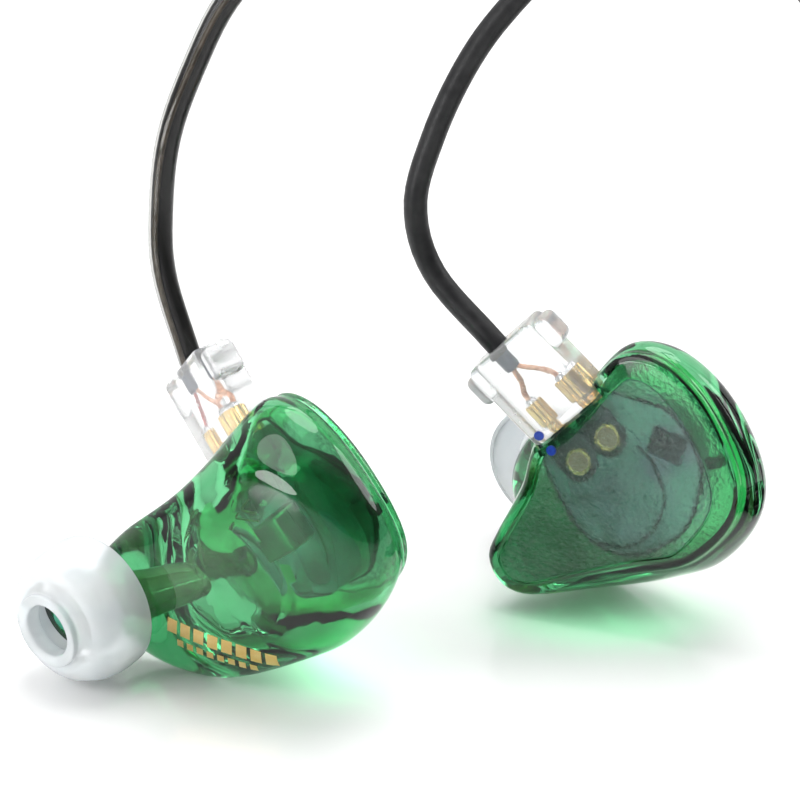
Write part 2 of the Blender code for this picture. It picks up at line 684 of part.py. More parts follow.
def make_materials():
    return {
        "resin": make_material("green_resin", (0.01, 0.30, 0.10), 0.06, alpha=0.6),
        "clear": make_material("clear_resin", (0.86, 0.89, 0.90), 0.08, alpha=0.35),
        "smoke": make_material("smoked_resin", (0.02, 0.07, 0.07), 0.15, alpha=0.7),
        "silicone": make_material("white_silicone", (0.78, 0.86, 0.90), 0.35, alpha=0.8),
        "gold": make_material("gold_plate", (0.83, 0.60, 0.24), 0.22, metallic=1.0),
        "steel": make_material("steel", (0.45, 0.46, 0.47), 0.35, metallic=1.0),
        "wire": make_material("tinned_copper", (0.62, 0.34, 0.22), 0.35, metallic=1.0),
        "cord": make_material("black_cord", (0.018, 0.018, 0.020), 0.45),
        "rubber": make_material("black_rubber", (0.022, 0.022, 0.024), 0.6),
        "shell": make_material("black_shell", (0.03, 0.03, 0.032), 0.3, metallic=1.0),
        "dark": make_material("black_insulator", (0.02, 0.02, 0.02), 0.4),
        "blue": make_material("blue_mark", (0.01, 0.05, 0.42), 0.35),
        "red": make_material("red_mark", (0.55, 0.02, 0.02), 0.35)}


def centre_on_origin(*collections):
    """Move everything so that the pair's footprint has its middle at the origin."""
    shift = Matrix.Translation((-FOOTPRINT_MIDDLE[0] * MM, -FOOTPRINT_MIDDLE[1] * MM, 0.0))
    bpy.context.view_layer.update()
    for collection in collections:
        for item in collection.objects:
            if item.parent is None:
                item.matrix_world = shift @ item.matrix_world


def main():
    clear_scene()
    collection = bpy.data.collections.new(OBJECT_NAME)
    cutters = bpy.data.collections.new("cutters")
    bpy.context.scene.collection.children.link(collection)
    bpy.context.scene.collection.children.link(cutters)
    materials = make_materials()
    for prefix, stand in MONITORS.items():
        side = stand["side"]
        matrix = monitor_matrix(stand)
        materials["dot"] = materials["blue" if prefix == "left" else "red"]
        anchors = {}
        for part, centre in (("monitor", Vector()), ("plug", PLUG_CENTRE), ("tip", Vector(TIP_CENTRE))):
            shift = Matrix.Translation(Vector((centre.x * side, centre.y, centre.z)) * MM)
            anchor = make_anchor(f"{prefix}_{part}_anchor", matrix @ shift, collection)
            anchors[part] = Builder(collection, cutters, anchor, side, shift.inverted())
        make_shell(anchors["monitor"], prefix, materials["resin"])
        make_faceplate(anchors["monitor"], prefix, materials["resin"])
        make_socket(anchors["monitor"], prefix, materials)
        make_driver(anchors["monitor"], prefix, materials)
        make_lead_wires(anchors["monitor"], prefix, materials["wire"])
        make_tip(anchors["tip"], prefix, materials["silicone"])
        make_plug(anchors["plug"], prefix, materials)
    cable = Builder(collection, cutters, None)
    for prefix in MONITORS:
        make_hook(cable, prefix, materials["cord"])
        make_branch(cable, prefix, materials["cord"])
    make_splitter(cable, materials["rubber"])
    make_trunk(cable, materials["cord"])
    make_tie(cable, materials["rubber"])
    make_mini_plug(cable, materials)
    centre_on_origin(collection, cutters)


main()
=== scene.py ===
"""The looks of a pair of in-ear monitors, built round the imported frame.

Lengths in the tables are in millimetres and scaled by MM.  Each monitor has its own frame:
x and y lie in its faceplate and +z points out of the faceplate, away from the ear.
The left monitor is drawn as it is and the right one is its mirror image in x.
"""

import math

import bmesh
import bpy
from mathutils import Matrix, Vector, noise
from mathutils.bvhtree import BVHTree

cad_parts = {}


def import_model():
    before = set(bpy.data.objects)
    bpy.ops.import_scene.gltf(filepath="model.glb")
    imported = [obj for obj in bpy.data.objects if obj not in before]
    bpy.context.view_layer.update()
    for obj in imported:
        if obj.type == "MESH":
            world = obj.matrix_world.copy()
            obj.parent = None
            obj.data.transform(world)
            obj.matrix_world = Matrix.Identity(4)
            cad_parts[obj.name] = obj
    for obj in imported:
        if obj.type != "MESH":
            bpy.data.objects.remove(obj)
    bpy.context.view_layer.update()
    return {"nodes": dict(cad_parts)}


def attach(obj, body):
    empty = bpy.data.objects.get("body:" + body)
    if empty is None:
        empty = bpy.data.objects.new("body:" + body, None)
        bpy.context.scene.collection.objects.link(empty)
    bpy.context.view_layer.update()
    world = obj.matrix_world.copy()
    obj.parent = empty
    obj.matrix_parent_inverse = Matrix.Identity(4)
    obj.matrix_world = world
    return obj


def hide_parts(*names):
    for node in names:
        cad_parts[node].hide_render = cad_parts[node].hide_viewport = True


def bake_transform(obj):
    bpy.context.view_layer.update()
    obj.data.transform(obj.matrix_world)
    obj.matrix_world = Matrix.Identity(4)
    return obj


MM = 0.001
UP = Vector((0.0, 0.0, 1.0))
SHARP_ANGLE = math.radians(38.0)
MERGE_DISTANCE = 1e-7
SMALLEST_RADIUS = 0.004
ROOT = "monitors_and_cable"
FOOTPRINT_MIDDLE = (0.517, 14.675)

# ---- camera --------------------------------------------------------------
CAMERA_TARGET = (0.0, 0.0, 27.7)
CAMERA_ELEVATION = math.radians(21.92)
CAMERA_DISTANCE = 350.0
SENSOR_WIDTH = 36.0
FIELD_WIDTH = 69.57

# ---- light: name, place and size in metres, power in watts ---------------
LIGHTS = [
    ("soft_top", (0.05, 0.12, 0.55), (0.45, 0.45), 2.0),
    ("soft_left", (-0.45, -0.32, 0.32), (0.50, 0.40), 1.6),
    ("soft_right", (0.50, 0.10, 0.30), (0.25, 0.35), 0.8),
    ("low_left", (-0.52, -0.40, 0.06), (0.34, 0.10), 0.7),
    ("low_fill", (-0.30, -0.60, 0.12), (0.40, 0.16), 1.3)]
WHITE_WAY = (-0.12, 0.45, 0.62)
WORLD_STRENGTH = 0.9
# the green light that the resin throws on the floor, in the cable's millimetres
GLOWS = {"left": (18.5, 17.0), "right": (-11.7, 4.0)}
GLOW_HEIGHT = 4.5
GLOW_POWER = 0.0016
GLOW_COLOUR = (0.10, 0.85, 0.32)

# ---- shell and faceplate -------------------------------------------------
WALL = 0.85
PLATE_THICKNESS = 1.0
LOOP_POINTS = 96
PLATE_OUTLINE = [
    (-6.2, 3.7), (-9.4, 0.6), (-10.5, -3.6), (-12.6, -8.0), (-13.5, -10.9), (-11.9, -13.4),
    (-8.8, -13.8), (-4.2, -11.9), (1.3, -9.8), (6.2, -8.0), (9.8, -4.3), (10.9, -0.5),
    (9.6, 3.8), (6.6, 8.2), (2.8, 10.9), (-0.9, 11.0), (-3.4, 8.6)]
OUTLINE_CENTRE = (-0.8, -1.6)
NOZZLE_RADIUS = 2.75
NOZZLE_END = -20.3
# depth, size of the plate outline, share of roundness, centre and radius of the round part
SHELL_SECTIONS = [
    (-1.12, 1.00, 0.00, -0.8, -1.6, 11.0),
    (-2.3, 1.05, 0.08, 0.4, -2.4, 12.0),
    (-4.4, 1.07, 0.25, 0.4, -3.2, 11.8),
    (-6.6, 1.02, 0.42, -0.6, -4.2, 11.4),
    (-8.6, 0.90, 0.62, -2.6, -5.0, 10.5),
    (-10.6, 0.70, 0.85, -5.4, -6.2, 9.3),
    (-12.2, 0.60, 1.00, -8.2, -7.3, 8.0),
    (-13.6, 0.50, 1.00, -10.6, -7.8, 6.5),
    (-14.8, 0.50, 1.00, -12.9, -7.8, 4.4),
    (-15.7, 0.50, 1.00, -13.8, -7.4, 3.5),
    (-16.4, 0.50, 1.00, -14.45, -6.9, NOZZLE_RADIUS),
    (NOZZLE_END, 0.50, 1.00, -14.15, -6.14, NOZZLE_RADIUS)]
SHELL_RINGS = 44
CAVITY_INSET = 1.5
RIPPLE_PACE = 0.17
RIPPLE_HEIGHT = 1.1
RIM_WAY = Vector((0.75, 0.66, 0.0))
RIM_GROWTH = 1.5
# depth and wall of the hollow behind the faceplate
CAVITY_ROWS = [
    (-0.5, WALL), (-1.0, WALL), (-2.4, 0.95), (-4.4, 1.25), (-6.4, 1.8), (-8.0, 2.7),
    (-9.0, 3.7), (-9.6, 4.8), (-9.9, 6.2), (-10.0, 8.0)]
NOZZLE_BORES = [
    ((-14.45, -6.9, -16.2), (-14.12, -6.07, -21.0), 1.9),
    ((-12.0, -6.9, -13.3), (-14.45, -6.9, -16.5), 1.6)]

# ---- plug and socket -----------------------------------------------------
PLUG_CENTRE = Vector((-6.2, 3.7, -2.1))
PLUG_ANGLE = math.radians(136.0)
PLUG_TILT = math.radians(10.7)
PLUG_WIDTH = 8.4
PLUG_DEPTH = 4.2
PLUG_LENGTH = 9.5
GAP = 0.12
# along the plug, across it and out, from the middle of its end
SEAT_PLACE = (2.97, 0.0, -0.4)
SEAT_SIZE = (6.06, PLUG_WIDTH + 0.8, PLUG_DEPTH + 1.6)
OPENING_PLACE = (-1.15, 0.0, -1.1)
OPENING_SIZE = (3.3, PLUG_WIDTH + 0.5, 4.3)
EAR_START = 5.9
EAR_END = 9.0
EAR_REACH = 1.2
PIN_SPREAD = 1.95
PIN_HEIGHT = -0.4
PIN_RADIUS = 0.42
PIN_LENGTH = 4.2
BARREL_LENGTH = 3.5
STRANDS = 5
SOLDER_PROFILE = [(0.0, 0.0), (0.62, 0.02), (0.6, 0.25), (0.45, 0.5), (0.2, 0.66), (0.0, 0.7)]
CONTACT_RADIUS = 0.9
CONTACT_LENGTH = 4.9
FACE_PLACE = -3.6
CABLE_RADIUS = 1.1
CABLE_ACROSS = -0.7
CABLE_REST = 7.4
SLEEVE_START = 8.7
JACKET_PROFILE = [(0.4, -0.5), (0.72, -0.4), (0.82, -0.1), (0.82, 1.5), (0.5, 1.6)]
COLLAR_PROFILE = [
    (0.9, 0.0), (1.24, 0.04), (1.34, 0.2), (1.34, 1.7), (1.24, 1.9), (0.9, 1.94)]
SOCKET_TOP = -1.15
SOCKET_BOTTOM = -5.0
SOCKET_OUTLINE = [
    (-6.9, -3.6), (-4.1, -7.0), (-0.6, -8.3), (2.6, -7.4), (5.8, -4.6), (6.9, -0.7),
    (6.8, 1.6), (5.4, 4.3), (3.1, 6.3), (0.2, 6.7)]
SOCKET_HALF = 3.9
RIDGE_OUTLINE = [
    (-2.6, -7.5, 0.0), (-0.4, -7.6, 0.0), (1.8, -6.4, 0.0), (3.2, -4.2, 0.0), (3.5, -1.9, 0.0),
    (2.3, 0.9, 0.0), (0.6, 2.4, 0.0)]
RECESS_CENTRE = (0.3, -3.7)
RECESS_RADIUS = 3.5

# ---- ear tip -------------------------------------------------------------
TIP_CENTRE = (-14.3, -6.5, -18.4)
NOZZLE_WAY = (0.08, 0.19, -1.0)
TIP_PROFILE = [
    (3.35, 4.5), (3.5, 4.3), (3.52, 3.95), (3.75, 3.8), (4.5, 3.6), (5.5, 2.8), (6.25, 1.2),
    (6.5, -0.5), (6.35, -2.3), (6.25, -2.5), (6.0, -2.5), (5.95, -2.3), (6.0, -0.5), (5.7, 0.8),
    (5.05, 1.9), (4.0, 2.6), (3.75, 1.0), (3.8, -1.2), (2.95, -1.2), (2.95, 2.3), (2.9, 2.6),
    (2.45, 2.8), (2.42, 3.9), (2.6, 4.4)]

# ---- inside the shell ----------------------------------------------------
DRIVER_CENTRE = (2.6, 1.2, -6.7)
DRIVER_SIZE = (5.0, 3.4, 2.7)
DRIVER_TURN = math.radians(38.0)
HORN_NARROW = (-2.6, -3.4, -7.4)
HORN_WIDE = (-12.0, -6.9, -13.3)

# ---- gold mark -----------------------------------------------------------
MARK_START = (-7.6, -8.6, 0.0)
MARK_WAY = (0.94, -0.28, 0.0)
# lead-in, drop, height of a bar, number of bars, their pitch and their width
MARK_ROWS = ((0.0, 0.0, 1.7, 8, 1.3, 0.95), (1.0, -1.45, 0.85, 8, 0.95, 0.6))

# ---- cable ---------------------------------------------------------------
ROUTES = {
    "right": {
        "hook": [(-20.9, 10.5, 35.5), (-21.1, 11.5, 41.5), (-20.3, 12.0, 47.8),
                 (-18.1, 12.5, 53.9), (-15.0, 13.0, 60.0), (-10.5, 13.0, 64.6),
                 (-3.0, 13.0, 67.6), (7.0, 13.2, 68.6), (18.0, 13.4, 67.9), (29.0, 13.5, 64.8)],
        "cord": [(29.3, 13.5, 64.65), (36.5, 13.5, 60.0), (41.2, 13.2, 50.0),
                 (43.4, 12.0, 35.0), (44.4, 10.2, 21.0), (45.0, 8.4, 10.5), (45.4, 8.8, 6.2),
                 (45.9, 11.0, 2.5)],
        "turn_radius": 21.7, "turn_start": 176.0},
    "left": {
        "hook": [(3.1, 21.6, 31.6), (1.4, 22.0, 37.9), (3.0, 22.0, 44.5), (5.8, 22.0, 50.9),
                 (9.1, 22.0, 55.9), (13.6, 22.0, 60.4), (20.5, 22.0, 63.2), (28.5, 22.0, 62.9),
                 (35.0, 22.0, 59.6)],
        "cord": [(35.25, 22.0, 59.4), (39.9, 22.0, 53.0), (42.6, 22.0, 42.5), (44.0, 21.4, 30.0),
                 (44.6, 20.4, 17.0), (45.0, 20.6, 7.5), (45.9, 23.4, 2.4)],
        "turn_radius": 24.35, "turn_start": 150.0}}
COIL_CENTRE = (68.0, 14.0)
COIL_RADII = (16.9, 8.1)
COIL_HEIGHTS = (1.5, 3.7)
COIL_TURNS = 4
COIL_BOTTOM = 0.4
COIL_TOP = 4.8
COIL_INNER = 7.0
COIL_OUTER = 18.0
FLOOR_LINE = CABLE_RADIUS + 0.02
TURN_END = -112.0
SPLITTER_ANGLES = (-115.0, -149.0)
SPLITTER_HALF_WIDTH = 3.15
SPLITTER_HALF_HEIGHT = 1.95
TIE_ANGLE = 20.0
STRAP_HALF = 0.11
STRAP_HALF_WIDTH = 1.3
HOOK_SPACING = 1.2
BRANCH_SPACING = 1.6
TRUNK_SPACING = 1.3
MINI_CENTRE = (76.0, -13.2, 2.95)
MINI_WAY = (-1.0, -0.03, 0.0)
# radius and distance; True marks a fluted row
BOOT_PROFILE = [
    (1.3, 0.0), (1.5, 0.0), (1.62, 1.2), (1.45, 1.5), (1.7, 2.6), (1.53, 2.9), (1.8, 4.0),
    (1.63, 4.3), (1.9, 5.4), (1.73, 5.7), (2.05, 7.0), (2.1, 7.95), (1.3, 7.95)]
BARREL_PROFILE = [
    (0.0, 8.15), (2.3, 8.15), (2.75, 8.4), (2.85, 8.8), (2.85, 12.0, True), (2.85, 12.2, True),
    (2.85, 19.0, True), (2.85, 19.2), (2.85, 21.9), (2.6, 22.4), (2.2, 22.58), (0.0, 22.58)]
CONTACTS_START = 22.66
CONTACT_ROWS = [
    ("sleeve", 4.54, "gold"), ("insulator_1", 0.74, "dark"), ("ring", 2.34, "gold"),
    ("insulator_2", 0.74, "dark")]
PLUG_TIP_PROFILE = [
    (0.0, 0.0), (1.7, 0.0), (1.75, 0.1), (1.75, 0.8), (1.55, 1.15), (1.27, 1.7), (1.5, 2.3),
    (1.75, 2.8), (1.5, 3.3), (0.95, 3.95), (0.45, 4.3), (0.0, 4.38)]

# ---- finishes ------------------------------------------------------------
NOISE = "ShaderNodeTexNoise"
CELLS = "ShaderNodeTexVoronoi"
RESIN_IOR = 1.49
# heights in millimetres where the painted shade low down is darkest and the painted light high up
# is brightest
PAINTED_SHADE_HEIGHT = 2.0
PAINTED_LIGHT_HEIGHT = 18.0
METAL = {"Metallic": 1.0}
# name, colour, roughness and other values, then three rows of patterns: the two colours that a
# pattern mixes, the range of roughness, and the strength and height of the bump;
# a pattern is its kind, the size of its marks in millimetres, its detail and its stretch
FINISHES = {
    "joint": ("glued_joint", (1.0, 1.0, 1.0), 0.0, {"IOR": 1.0, "Transmission Weight": 1.0},
              None, None, None),
    "smoke": ("smoked_resin", (0.46, 0.62, 0.72), 0.12,
              {"IOR": 1.5, "Transmission Weight": 0.78},
              ((NOISE, 3.0), (0.38, 0.54, 0.64), (0.56, 0.72, 0.82)),
              None, ((NOISE, 1.2), 0.3, 0.06)),
    "smoke_dark": ("smoked_edge", (0.012, 0.022, 0.028), 0.25, {"IOR": 1.5},
                   ((NOISE, 1.5), (0.008, 0.014, 0.018), (0.022, 0.036, 0.042)),
                   None, ((NOISE, 0.8), 0.2, 0.04)),
    "clear": ("clear_resin", (0.975, 0.985, 0.99), 0.12,
              {"IOR": 1.42, "Transmission Weight": 0.8},
              None, ((NOISE, 1.4), 0.04, 0.30), ((NOISE, 1.6), 0.3, 0.10)),
    "horn": ("horn_resin", (0.66, 0.64, 0.40), 0.10, {"IOR": 1.5, "Transmission Weight": 0.7},
             ((NOISE, 3.0, 2.0), (0.56, 0.54, 0.30), (0.76, 0.74, 0.50)),
             None, ((NOISE, 1.5), 0.25, 0.06)),
    "lens": ("nozzle_lens", (0.02, 0.20, 0.13), 0.06, {"Coat Weight": 0.6},
             ((NOISE, 1.6, 2.0), (0.01, 0.10, 0.06), (0.04, 0.34, 0.22)),
             None, ((NOISE, 1.0, 2.0), 0.2, 0.05)),
    "sleeve": ("clear_sleeve", (0.62, 0.62, 0.60), 0.07, {"IOR": 1.40, "Transmission Weight": 1.0},
               None, None, ((NOISE, 2.2), 0.15, 0.05)),
    "silicone": ("white_silicone", (0.95, 0.98, 1.0), 0.24,
                 {"IOR": 1.36, "Transmission Weight": 0.6},
                 ((NOISE, 4.0, 2.0), (0.92, 0.965, 0.99), (0.975, 0.99, 1.0)),
                 None, ((NOISE, 0.25, 2.0), 0.1, 0.02)),
    "gold": ("gold_plate", (0.83, 0.58, 0.22), 0.2, METAL,
             ((NOISE, 1.1), (0.80, 0.54, 0.19), (0.88, 0.64, 0.27)),
             ((NOISE, 0.3, 4.0), 0.13, 0.22), ((NOISE, 0.12, 3.0, (1.0, 1.0, 6.0)), 0.05, 0.01)),
    "steel": ("steel", (0.42, 0.43, 0.45), 0.35, METAL,
              None, ((NOISE, 0.4, 4.0, (1.0, 8.0, 1.0)), 0.25, 0.5),
              ((NOISE, 0.3, 3.0, (1.0, 9.0, 1.0)), 0.1, 0.02)),
    "copper": ("copper_strand", (0.72, 0.38, 0.24), 0.32, METAL,
               ((NOISE, 0.5), (0.60, 0.28, 0.16), (0.82, 0.50, 0.34)),
               None, ((NOISE, 0.08, 2.0, (1.0, 1.0, 5.0)), 0.3, 0.02)),
    "red_wire": ("red_enamel", (0.50, 0.03, 0.03), 0.3, {},
                 ((NOISE, 0.6, 2.0), (0.38, 0.02, 0.02), (0.62, 0.06, 0.05)),
                 None, ((NOISE, 0.2, 2.0), 0.1, 0.01)),
    "solder": ("solder", (0.78, 0.78, 0.80), 0.25, METAL,
               None, None, ((NOISE, 0.35, 4.0), 0.6, 0.08)),
    "cord": ("black_cord", (0.010, 0.010, 0.011), 0.42, {"Specular IOR Level": 0.35},
             ((NOISE, 1.5), (0.007, 0.007, 0.008), (0.016, 0.016, 0.017)),
             ((NOISE, 0.8, 4.0), 0.34, 0.55), ((NOISE, 0.35, 4.0), 0.25, 0.04)),
    "wire": ("formed_wire", (0.10, 0.08, 0.055), 0.3, {},
             ((NOISE, 1.0, 2.0), (0.07, 0.055, 0.035), (0.15, 0.12, 0.085)),
             None, ((NOISE, 0.3), 0.15, 0.02)),
    "jacket": ("blue_jacket", (0.008, 0.02, 0.06), 0.35, {},
               ((NOISE, 0.8), (0.005, 0.015, 0.045), (0.015, 0.035, 0.085)),
               None, ((NOISE, 0.3), 0.15, 0.02)),
    "rubber": ("black_rubber", (0.020, 0.020, 0.022), 0.55, {},
               None, ((NOISE, 1.5), 0.45, 0.65), ((NOISE, 0.18), 0.3, 0.03)),
    "shell": ("black_shell", (0.03, 0.03, 0.033), 0.3, {"Metallic": 0.8},
              None, ((NOISE, 0.6, 4.0), 0.22, 0.4), ((NOISE, 0.2), 0.12, 0.02)),
    "dark": ("black_insulator", (0.02, 0.02, 0.02), 0.4, {},
             None, None, ((NOISE, 0.3), 0.2, 0.02)),
    "contact": ("contact_face", (0.60, 0.38, 0.24), 0.5, {},
                ((CELLS, 0.35), (0.46, 0.28, 0.18), (0.80, 0.55, 0.36)),
                None, ((NOISE, 0.2, 4.0), 0.4, 0.05)),
    "blue": ("blue_mark", (0.002, 0.022, 0.26), 0.35, {},
             ((NOISE, 0.5), (0.002, 0.022, 0.26), (0.008, 0.045, 0.38)),
             None, ((NOISE, 0.2), 0.15, 0.02)),
    "red": ("red_mark", (0.42, 0.01, 0.01), 0.35, {},
            ((NOISE, 0.5), (0.42, 0.01, 0.01), (0.60, 0.04, 0.03)),
            None, ((NOISE, 0.2), 0.15, 0.02))}

# ---- how each monitor stands: place, turn about z, lean, roll ------------
MONITORS = {
    "left": {"side": 1, "place": (20.5, 11.2, 16.18), "turn": -25.8, "lean": -4.4, "roll": 0.0},
    "right": {"side": -1, "place": (-7.0, 2.3, 17.93), "turn": 134.6, "lean": -16.4, "roll": 1.3}}


# ==== points and curves ===================================================
def curve_through(knots, steps, closed=False):
    """A Catmull-Rom curve through points of any dimension, as lists of numbers."""
    rows = [list(knot) for knot in knots]
    if closed:
        rows = [rows[-1]] + rows + rows[:2]
    else:
        first = [2 * a - b for a, b in zip(rows[0], rows[1])]
        last = [2 * a - b for a, b in zip(rows[-1], rows[-2])]
        rows = [first] + rows + [last]
    fine = []
    for index in range(1, len(rows) - 2):
        before, start, end, after = rows[index - 1:index + 3]
        for step in range(steps):
            t = step / steps
            fine.append([0.5 * (2 * b + (c - a) * t + (2 * a - 5 * b + 4 * c - d) * t ** 2
                                + (3 * b - a - 3 * c + d) * t ** 3)
                         for a, b, c, d in zip(before, start, end, after)])
    fine.append(rows[-2])
    return fine


def spread(points, count, closed=False):
    """The given number of points, evenly spaced along a dense line of points."""
    fine = [Vector(point) for point in points]
    lengths = [0.0]
    for first, second in zip(fine, fine[1:]):
        lengths.append(lengths[-1] + (second - first).length)
    spans = count if closed else count - 1
    result = []
    index = 0
    for step in range(count):
        goal = lengths[-1] * step / spans
        while index < len(fine) - 2 and lengths[index + 1] < goal:
            index += 1
        share = (goal - lengths[index]) / max(lengths[index + 1] - lengths[index], 1e-9)
        result.append(fine[index].lerp(fine[index + 1], share))
    return result


def smooth_line(route, spacing):
    """Evenly spaced points on the smooth curve through a route."""
    fine = curve_through(route, 24)
    length = line_length(fine)
    return spread(fine, max(4, round(length / spacing) + 1))


def line_length(points):
    return sum((Vector(end) - Vector(start)).length for start, end in zip(points, points[1:]))


def outline_loop(count=LOOP_POINTS):
    flat = curve_through([(x, y, 0.0) for x, y in PLATE_OUTLINE], 24, closed=True)
    return spread(flat, count, closed=True)


def inset_loop(loop, distances):
    """The loop moved inwards in its own plane, by one distance for each of its points."""
    moved = []
    turn = math.copysign(1.0, loop_area(loop))
    for index, point in enumerate(loop):
        along = loop[(index + 1) % len(loop)] - loop[index - 1]
        inward = Vector((-along.y, along.x, 0.0)).normalized() * turn
        moved.append(point + inward * distances[index])
    return moved


def loop_area(loop):
    total = 0.0
    for first, second in zip(loop, loop[1:] + loop[:1]):
        total += first.x * second.y - second.x * first.y
    return total / 2


# ==== frames ==============================================================
class Frame:
    """A monitor's own frame, which mirrors x on the right-ear side."""

    def __init__(self, prefix):
        stand = MONITORS[prefix]
        self.prefix = prefix
        self.side = stand["side"]
        self.matrix = (Matrix.Translation(world_point(stand["place"]))
                       @ Matrix.Rotation(math.radians(stand["turn"]), 4, "Z")
                       @ Matrix.Rotation(math.radians(90.0 + stand["lean"]), 4, "X")
                       @ Matrix.Rotation(math.radians(stand["roll"]), 4, "Z"))

    def point(self, place):
        return self.matrix @ (Vector((place[0] * self.side, place[1], place[2])) * MM)

    def way(self, direction):
        return (self.matrix.to_3x3()
                @ Vector((direction[0] * self.side, direction[1], direction[2]))).normalized()


def world_point(place):
    """A place in the cable's table, moved with the footprint's middle onto the origin."""
    return Vector((place[0] - FOOTPRINT_MIDDLE[0], place[1] - FOOTPRINT_MIDDLE[1],
                   place[2])) * MM


def turned_axes(angle):
    """Three axes in the monitor's frame: two turned in the faceplate's plane, and out of it."""
    along = Vector((math.cos(angle), math.sin(angle), 0.0))
    across = Vector((math.sin(angle), -math.cos(angle), 0.0))
    return along, across, UP


def plug_axes():
    """Along the plug away from the socket, across it, and out of it."""
    flat, across, out = turned_axes(PLUG_ANGLE)
    along = flat * math.cos(PLUG_TILT) + out * math.sin(PLUG_TILT)
    normal = out * math.cos(PLUG_TILT) - flat * math.sin(PLUG_TILT)
    return along, across, normal


def plug_point(along_distance, across_distance, height=0.0):
    """A place given by the plug's own axes, in the monitor's frame."""
    along, across, normal = plug_axes()
    return PLUG_CENTRE + along * along_distance + across * across_distance + normal * height


# ==== meshes ==============================================================
def new_object(name, shape, material, smooth=True):
    """An object from a bmesh in the object's own frame, with its faces pointing out."""
    shape.normal_update()
    bmesh.ops.recalc_face_normals(shape, faces=shape.faces)
    data = bpy.data.meshes.new(name)
    shape.to_mesh(data)
    shape.free()
    if smooth:
        data.shade_smooth()
        data.set_sharp_from_angle(angle=SHARP_ANGLE)
    item = bpy.data.objects.new(name, data)
    bpy.context.scene.collection.objects.link(item)
    if material:
        data.materials.append(material)
    return item


def applied(item):
    """The object with its modifiers made part of its mesh."""
    view = bpy.context.evaluated_depsgraph_get()
    view.update()
    data = bpy.data.meshes.new_from_object(item.evaluated_get(view))
    old = item.data
    item.modifiers.clear()
    item.data = data
    bpy.data.meshes.remove(old)
    return item


def soften(item, width, segments=3, angle=40.0):
    bevel = item.modifiers.new("soft edges", "BEVEL")
    bevel.width = width * MM
    bevel.segments = segments
    bevel.limit_method = "ANGLE"
    bevel.angle_limit = math.radians(angle)
    bevel.harden_normals = False
    return applied(item)


def combine(item, tool, operation="DIFFERENCE"):
    """Cut the tool out of the item, or join it on, and remove the tool."""
    modifier = item.modifiers.new("shape", "BOOLEAN")
    modifier.operation = operation
    modifier.solver = "EXACT"
    modifier.object = tool
    applied(item)
    bpy.data.objects.remove(tool, do_unlink=True)
    item.data.shade_smooth()
    item.data.set_sharp_from_angle(angle=SHARP_ANGLE)
    return item


def merged(item):
    """The object with the points that lie on each other made one."""
    shape = bmesh.new()
    shape.from_mesh(item.data)
    bmesh.ops.remove_doubles(shape, verts=shape.verts, dist=MERGE_DISTANCE)
    bmesh.ops.recalc_face_normals(shape, faces=shape.faces)
    shape.to_mesh(item.data)
    shape.free()
    return item


def settle(item, body, finish, *solids):
    """Fix a piece to its body and hide the solids that it stands for; the finish is not used."""
    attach(item, body)
    if solids:
        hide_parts(*solids)


def full_turn(count):
    """Evenly spaced angles round a full turn."""
    return [math.tau * step / count for step in range(count)]


def squarish(angle, power):
    """The two reaches of a rounded box's outline; the smaller the power, the squarer it is."""
    wide = math.copysign(abs(math.cos(angle)) ** power, math.cos(angle))
    high = math.copysign(abs(math.sin(angle)) ** power, math.sin(angle))
    return wide, high


def loft(name, rings, material, cap=False, finishes=None):
    """A skin through closed rings; cap closes both ends, and finishes sets each row's material."""
    shape = bmesh.new()
    rows = [[shape.verts.new(point) for point in ring] for ring in rings]
    for number, (upper, lower) in enumerate(zip(rows, rows[1:])):
        count = len(upper)
        for index in range(count):
            after = (index + 1) % count
            face = shape.faces.new([upper[index], lower[index], lower[after], upper[after]])
            face.material_index = finishes[number] if finishes else 0
    if cap:
        ends = [shape.faces.new(rows[0]), shape.faces.new(rows[-1])]
        for face in ends:
            face.material_index = finishes[-1] if finishes else 0
        bmesh.ops.triangulate(shape, faces=ends)
    return new_object(name, shape, material)


def block(name, frame, centre, size, axes, material=None):
    shape = bmesh.new()
    bmesh.ops.create_cube(shape, size=1.0)
    for corner in shape.verts:
        place = Vector(centre)
        for axis, length, share in zip(axes, size, corner.co):
            place = place + axis * length * share
        corner.co = frame.point(place)
    return new_object(name, shape, material, smooth=False)


def lathe(name, start, way, profile, material, steps=40, flutes=0, flute_depth=0.0, closed=False):
    """A turned shape: profile rows are (radius, distance) or (radius, distance, True if fluted)."""
    way = Vector(way).normalized()
    side = way.orthogonal().normalized()
    other = way.cross(side)
    rings = []
    for row in profile:
        ring = []
        for angle in full_turn(steps):
            radius = row[0]
            if len(row) > 2:
                radius -= flute_depth * (0.5 + 0.5 * math.cos(flutes * angle))
            ring.append(start + (way * row[1] + (side * math.cos(angle) + other * math.sin(angle))
                                 * max(radius, SMALLEST_RADIUS)) * MM)
        rings.append(ring)
    if closed:
        rings.append(rings[0])
        return merged(loft(name, rings, material))
    return loft(name, rings, material, cap=True)


def rod(name, start, end, radius, material=None, steps=28):
    """A round bar between two points in the object's frame."""
    way = end - start
    length = way.length / MM
    return lathe(name, start, way, [(radius, 0.0), (radius, length)], material, steps)


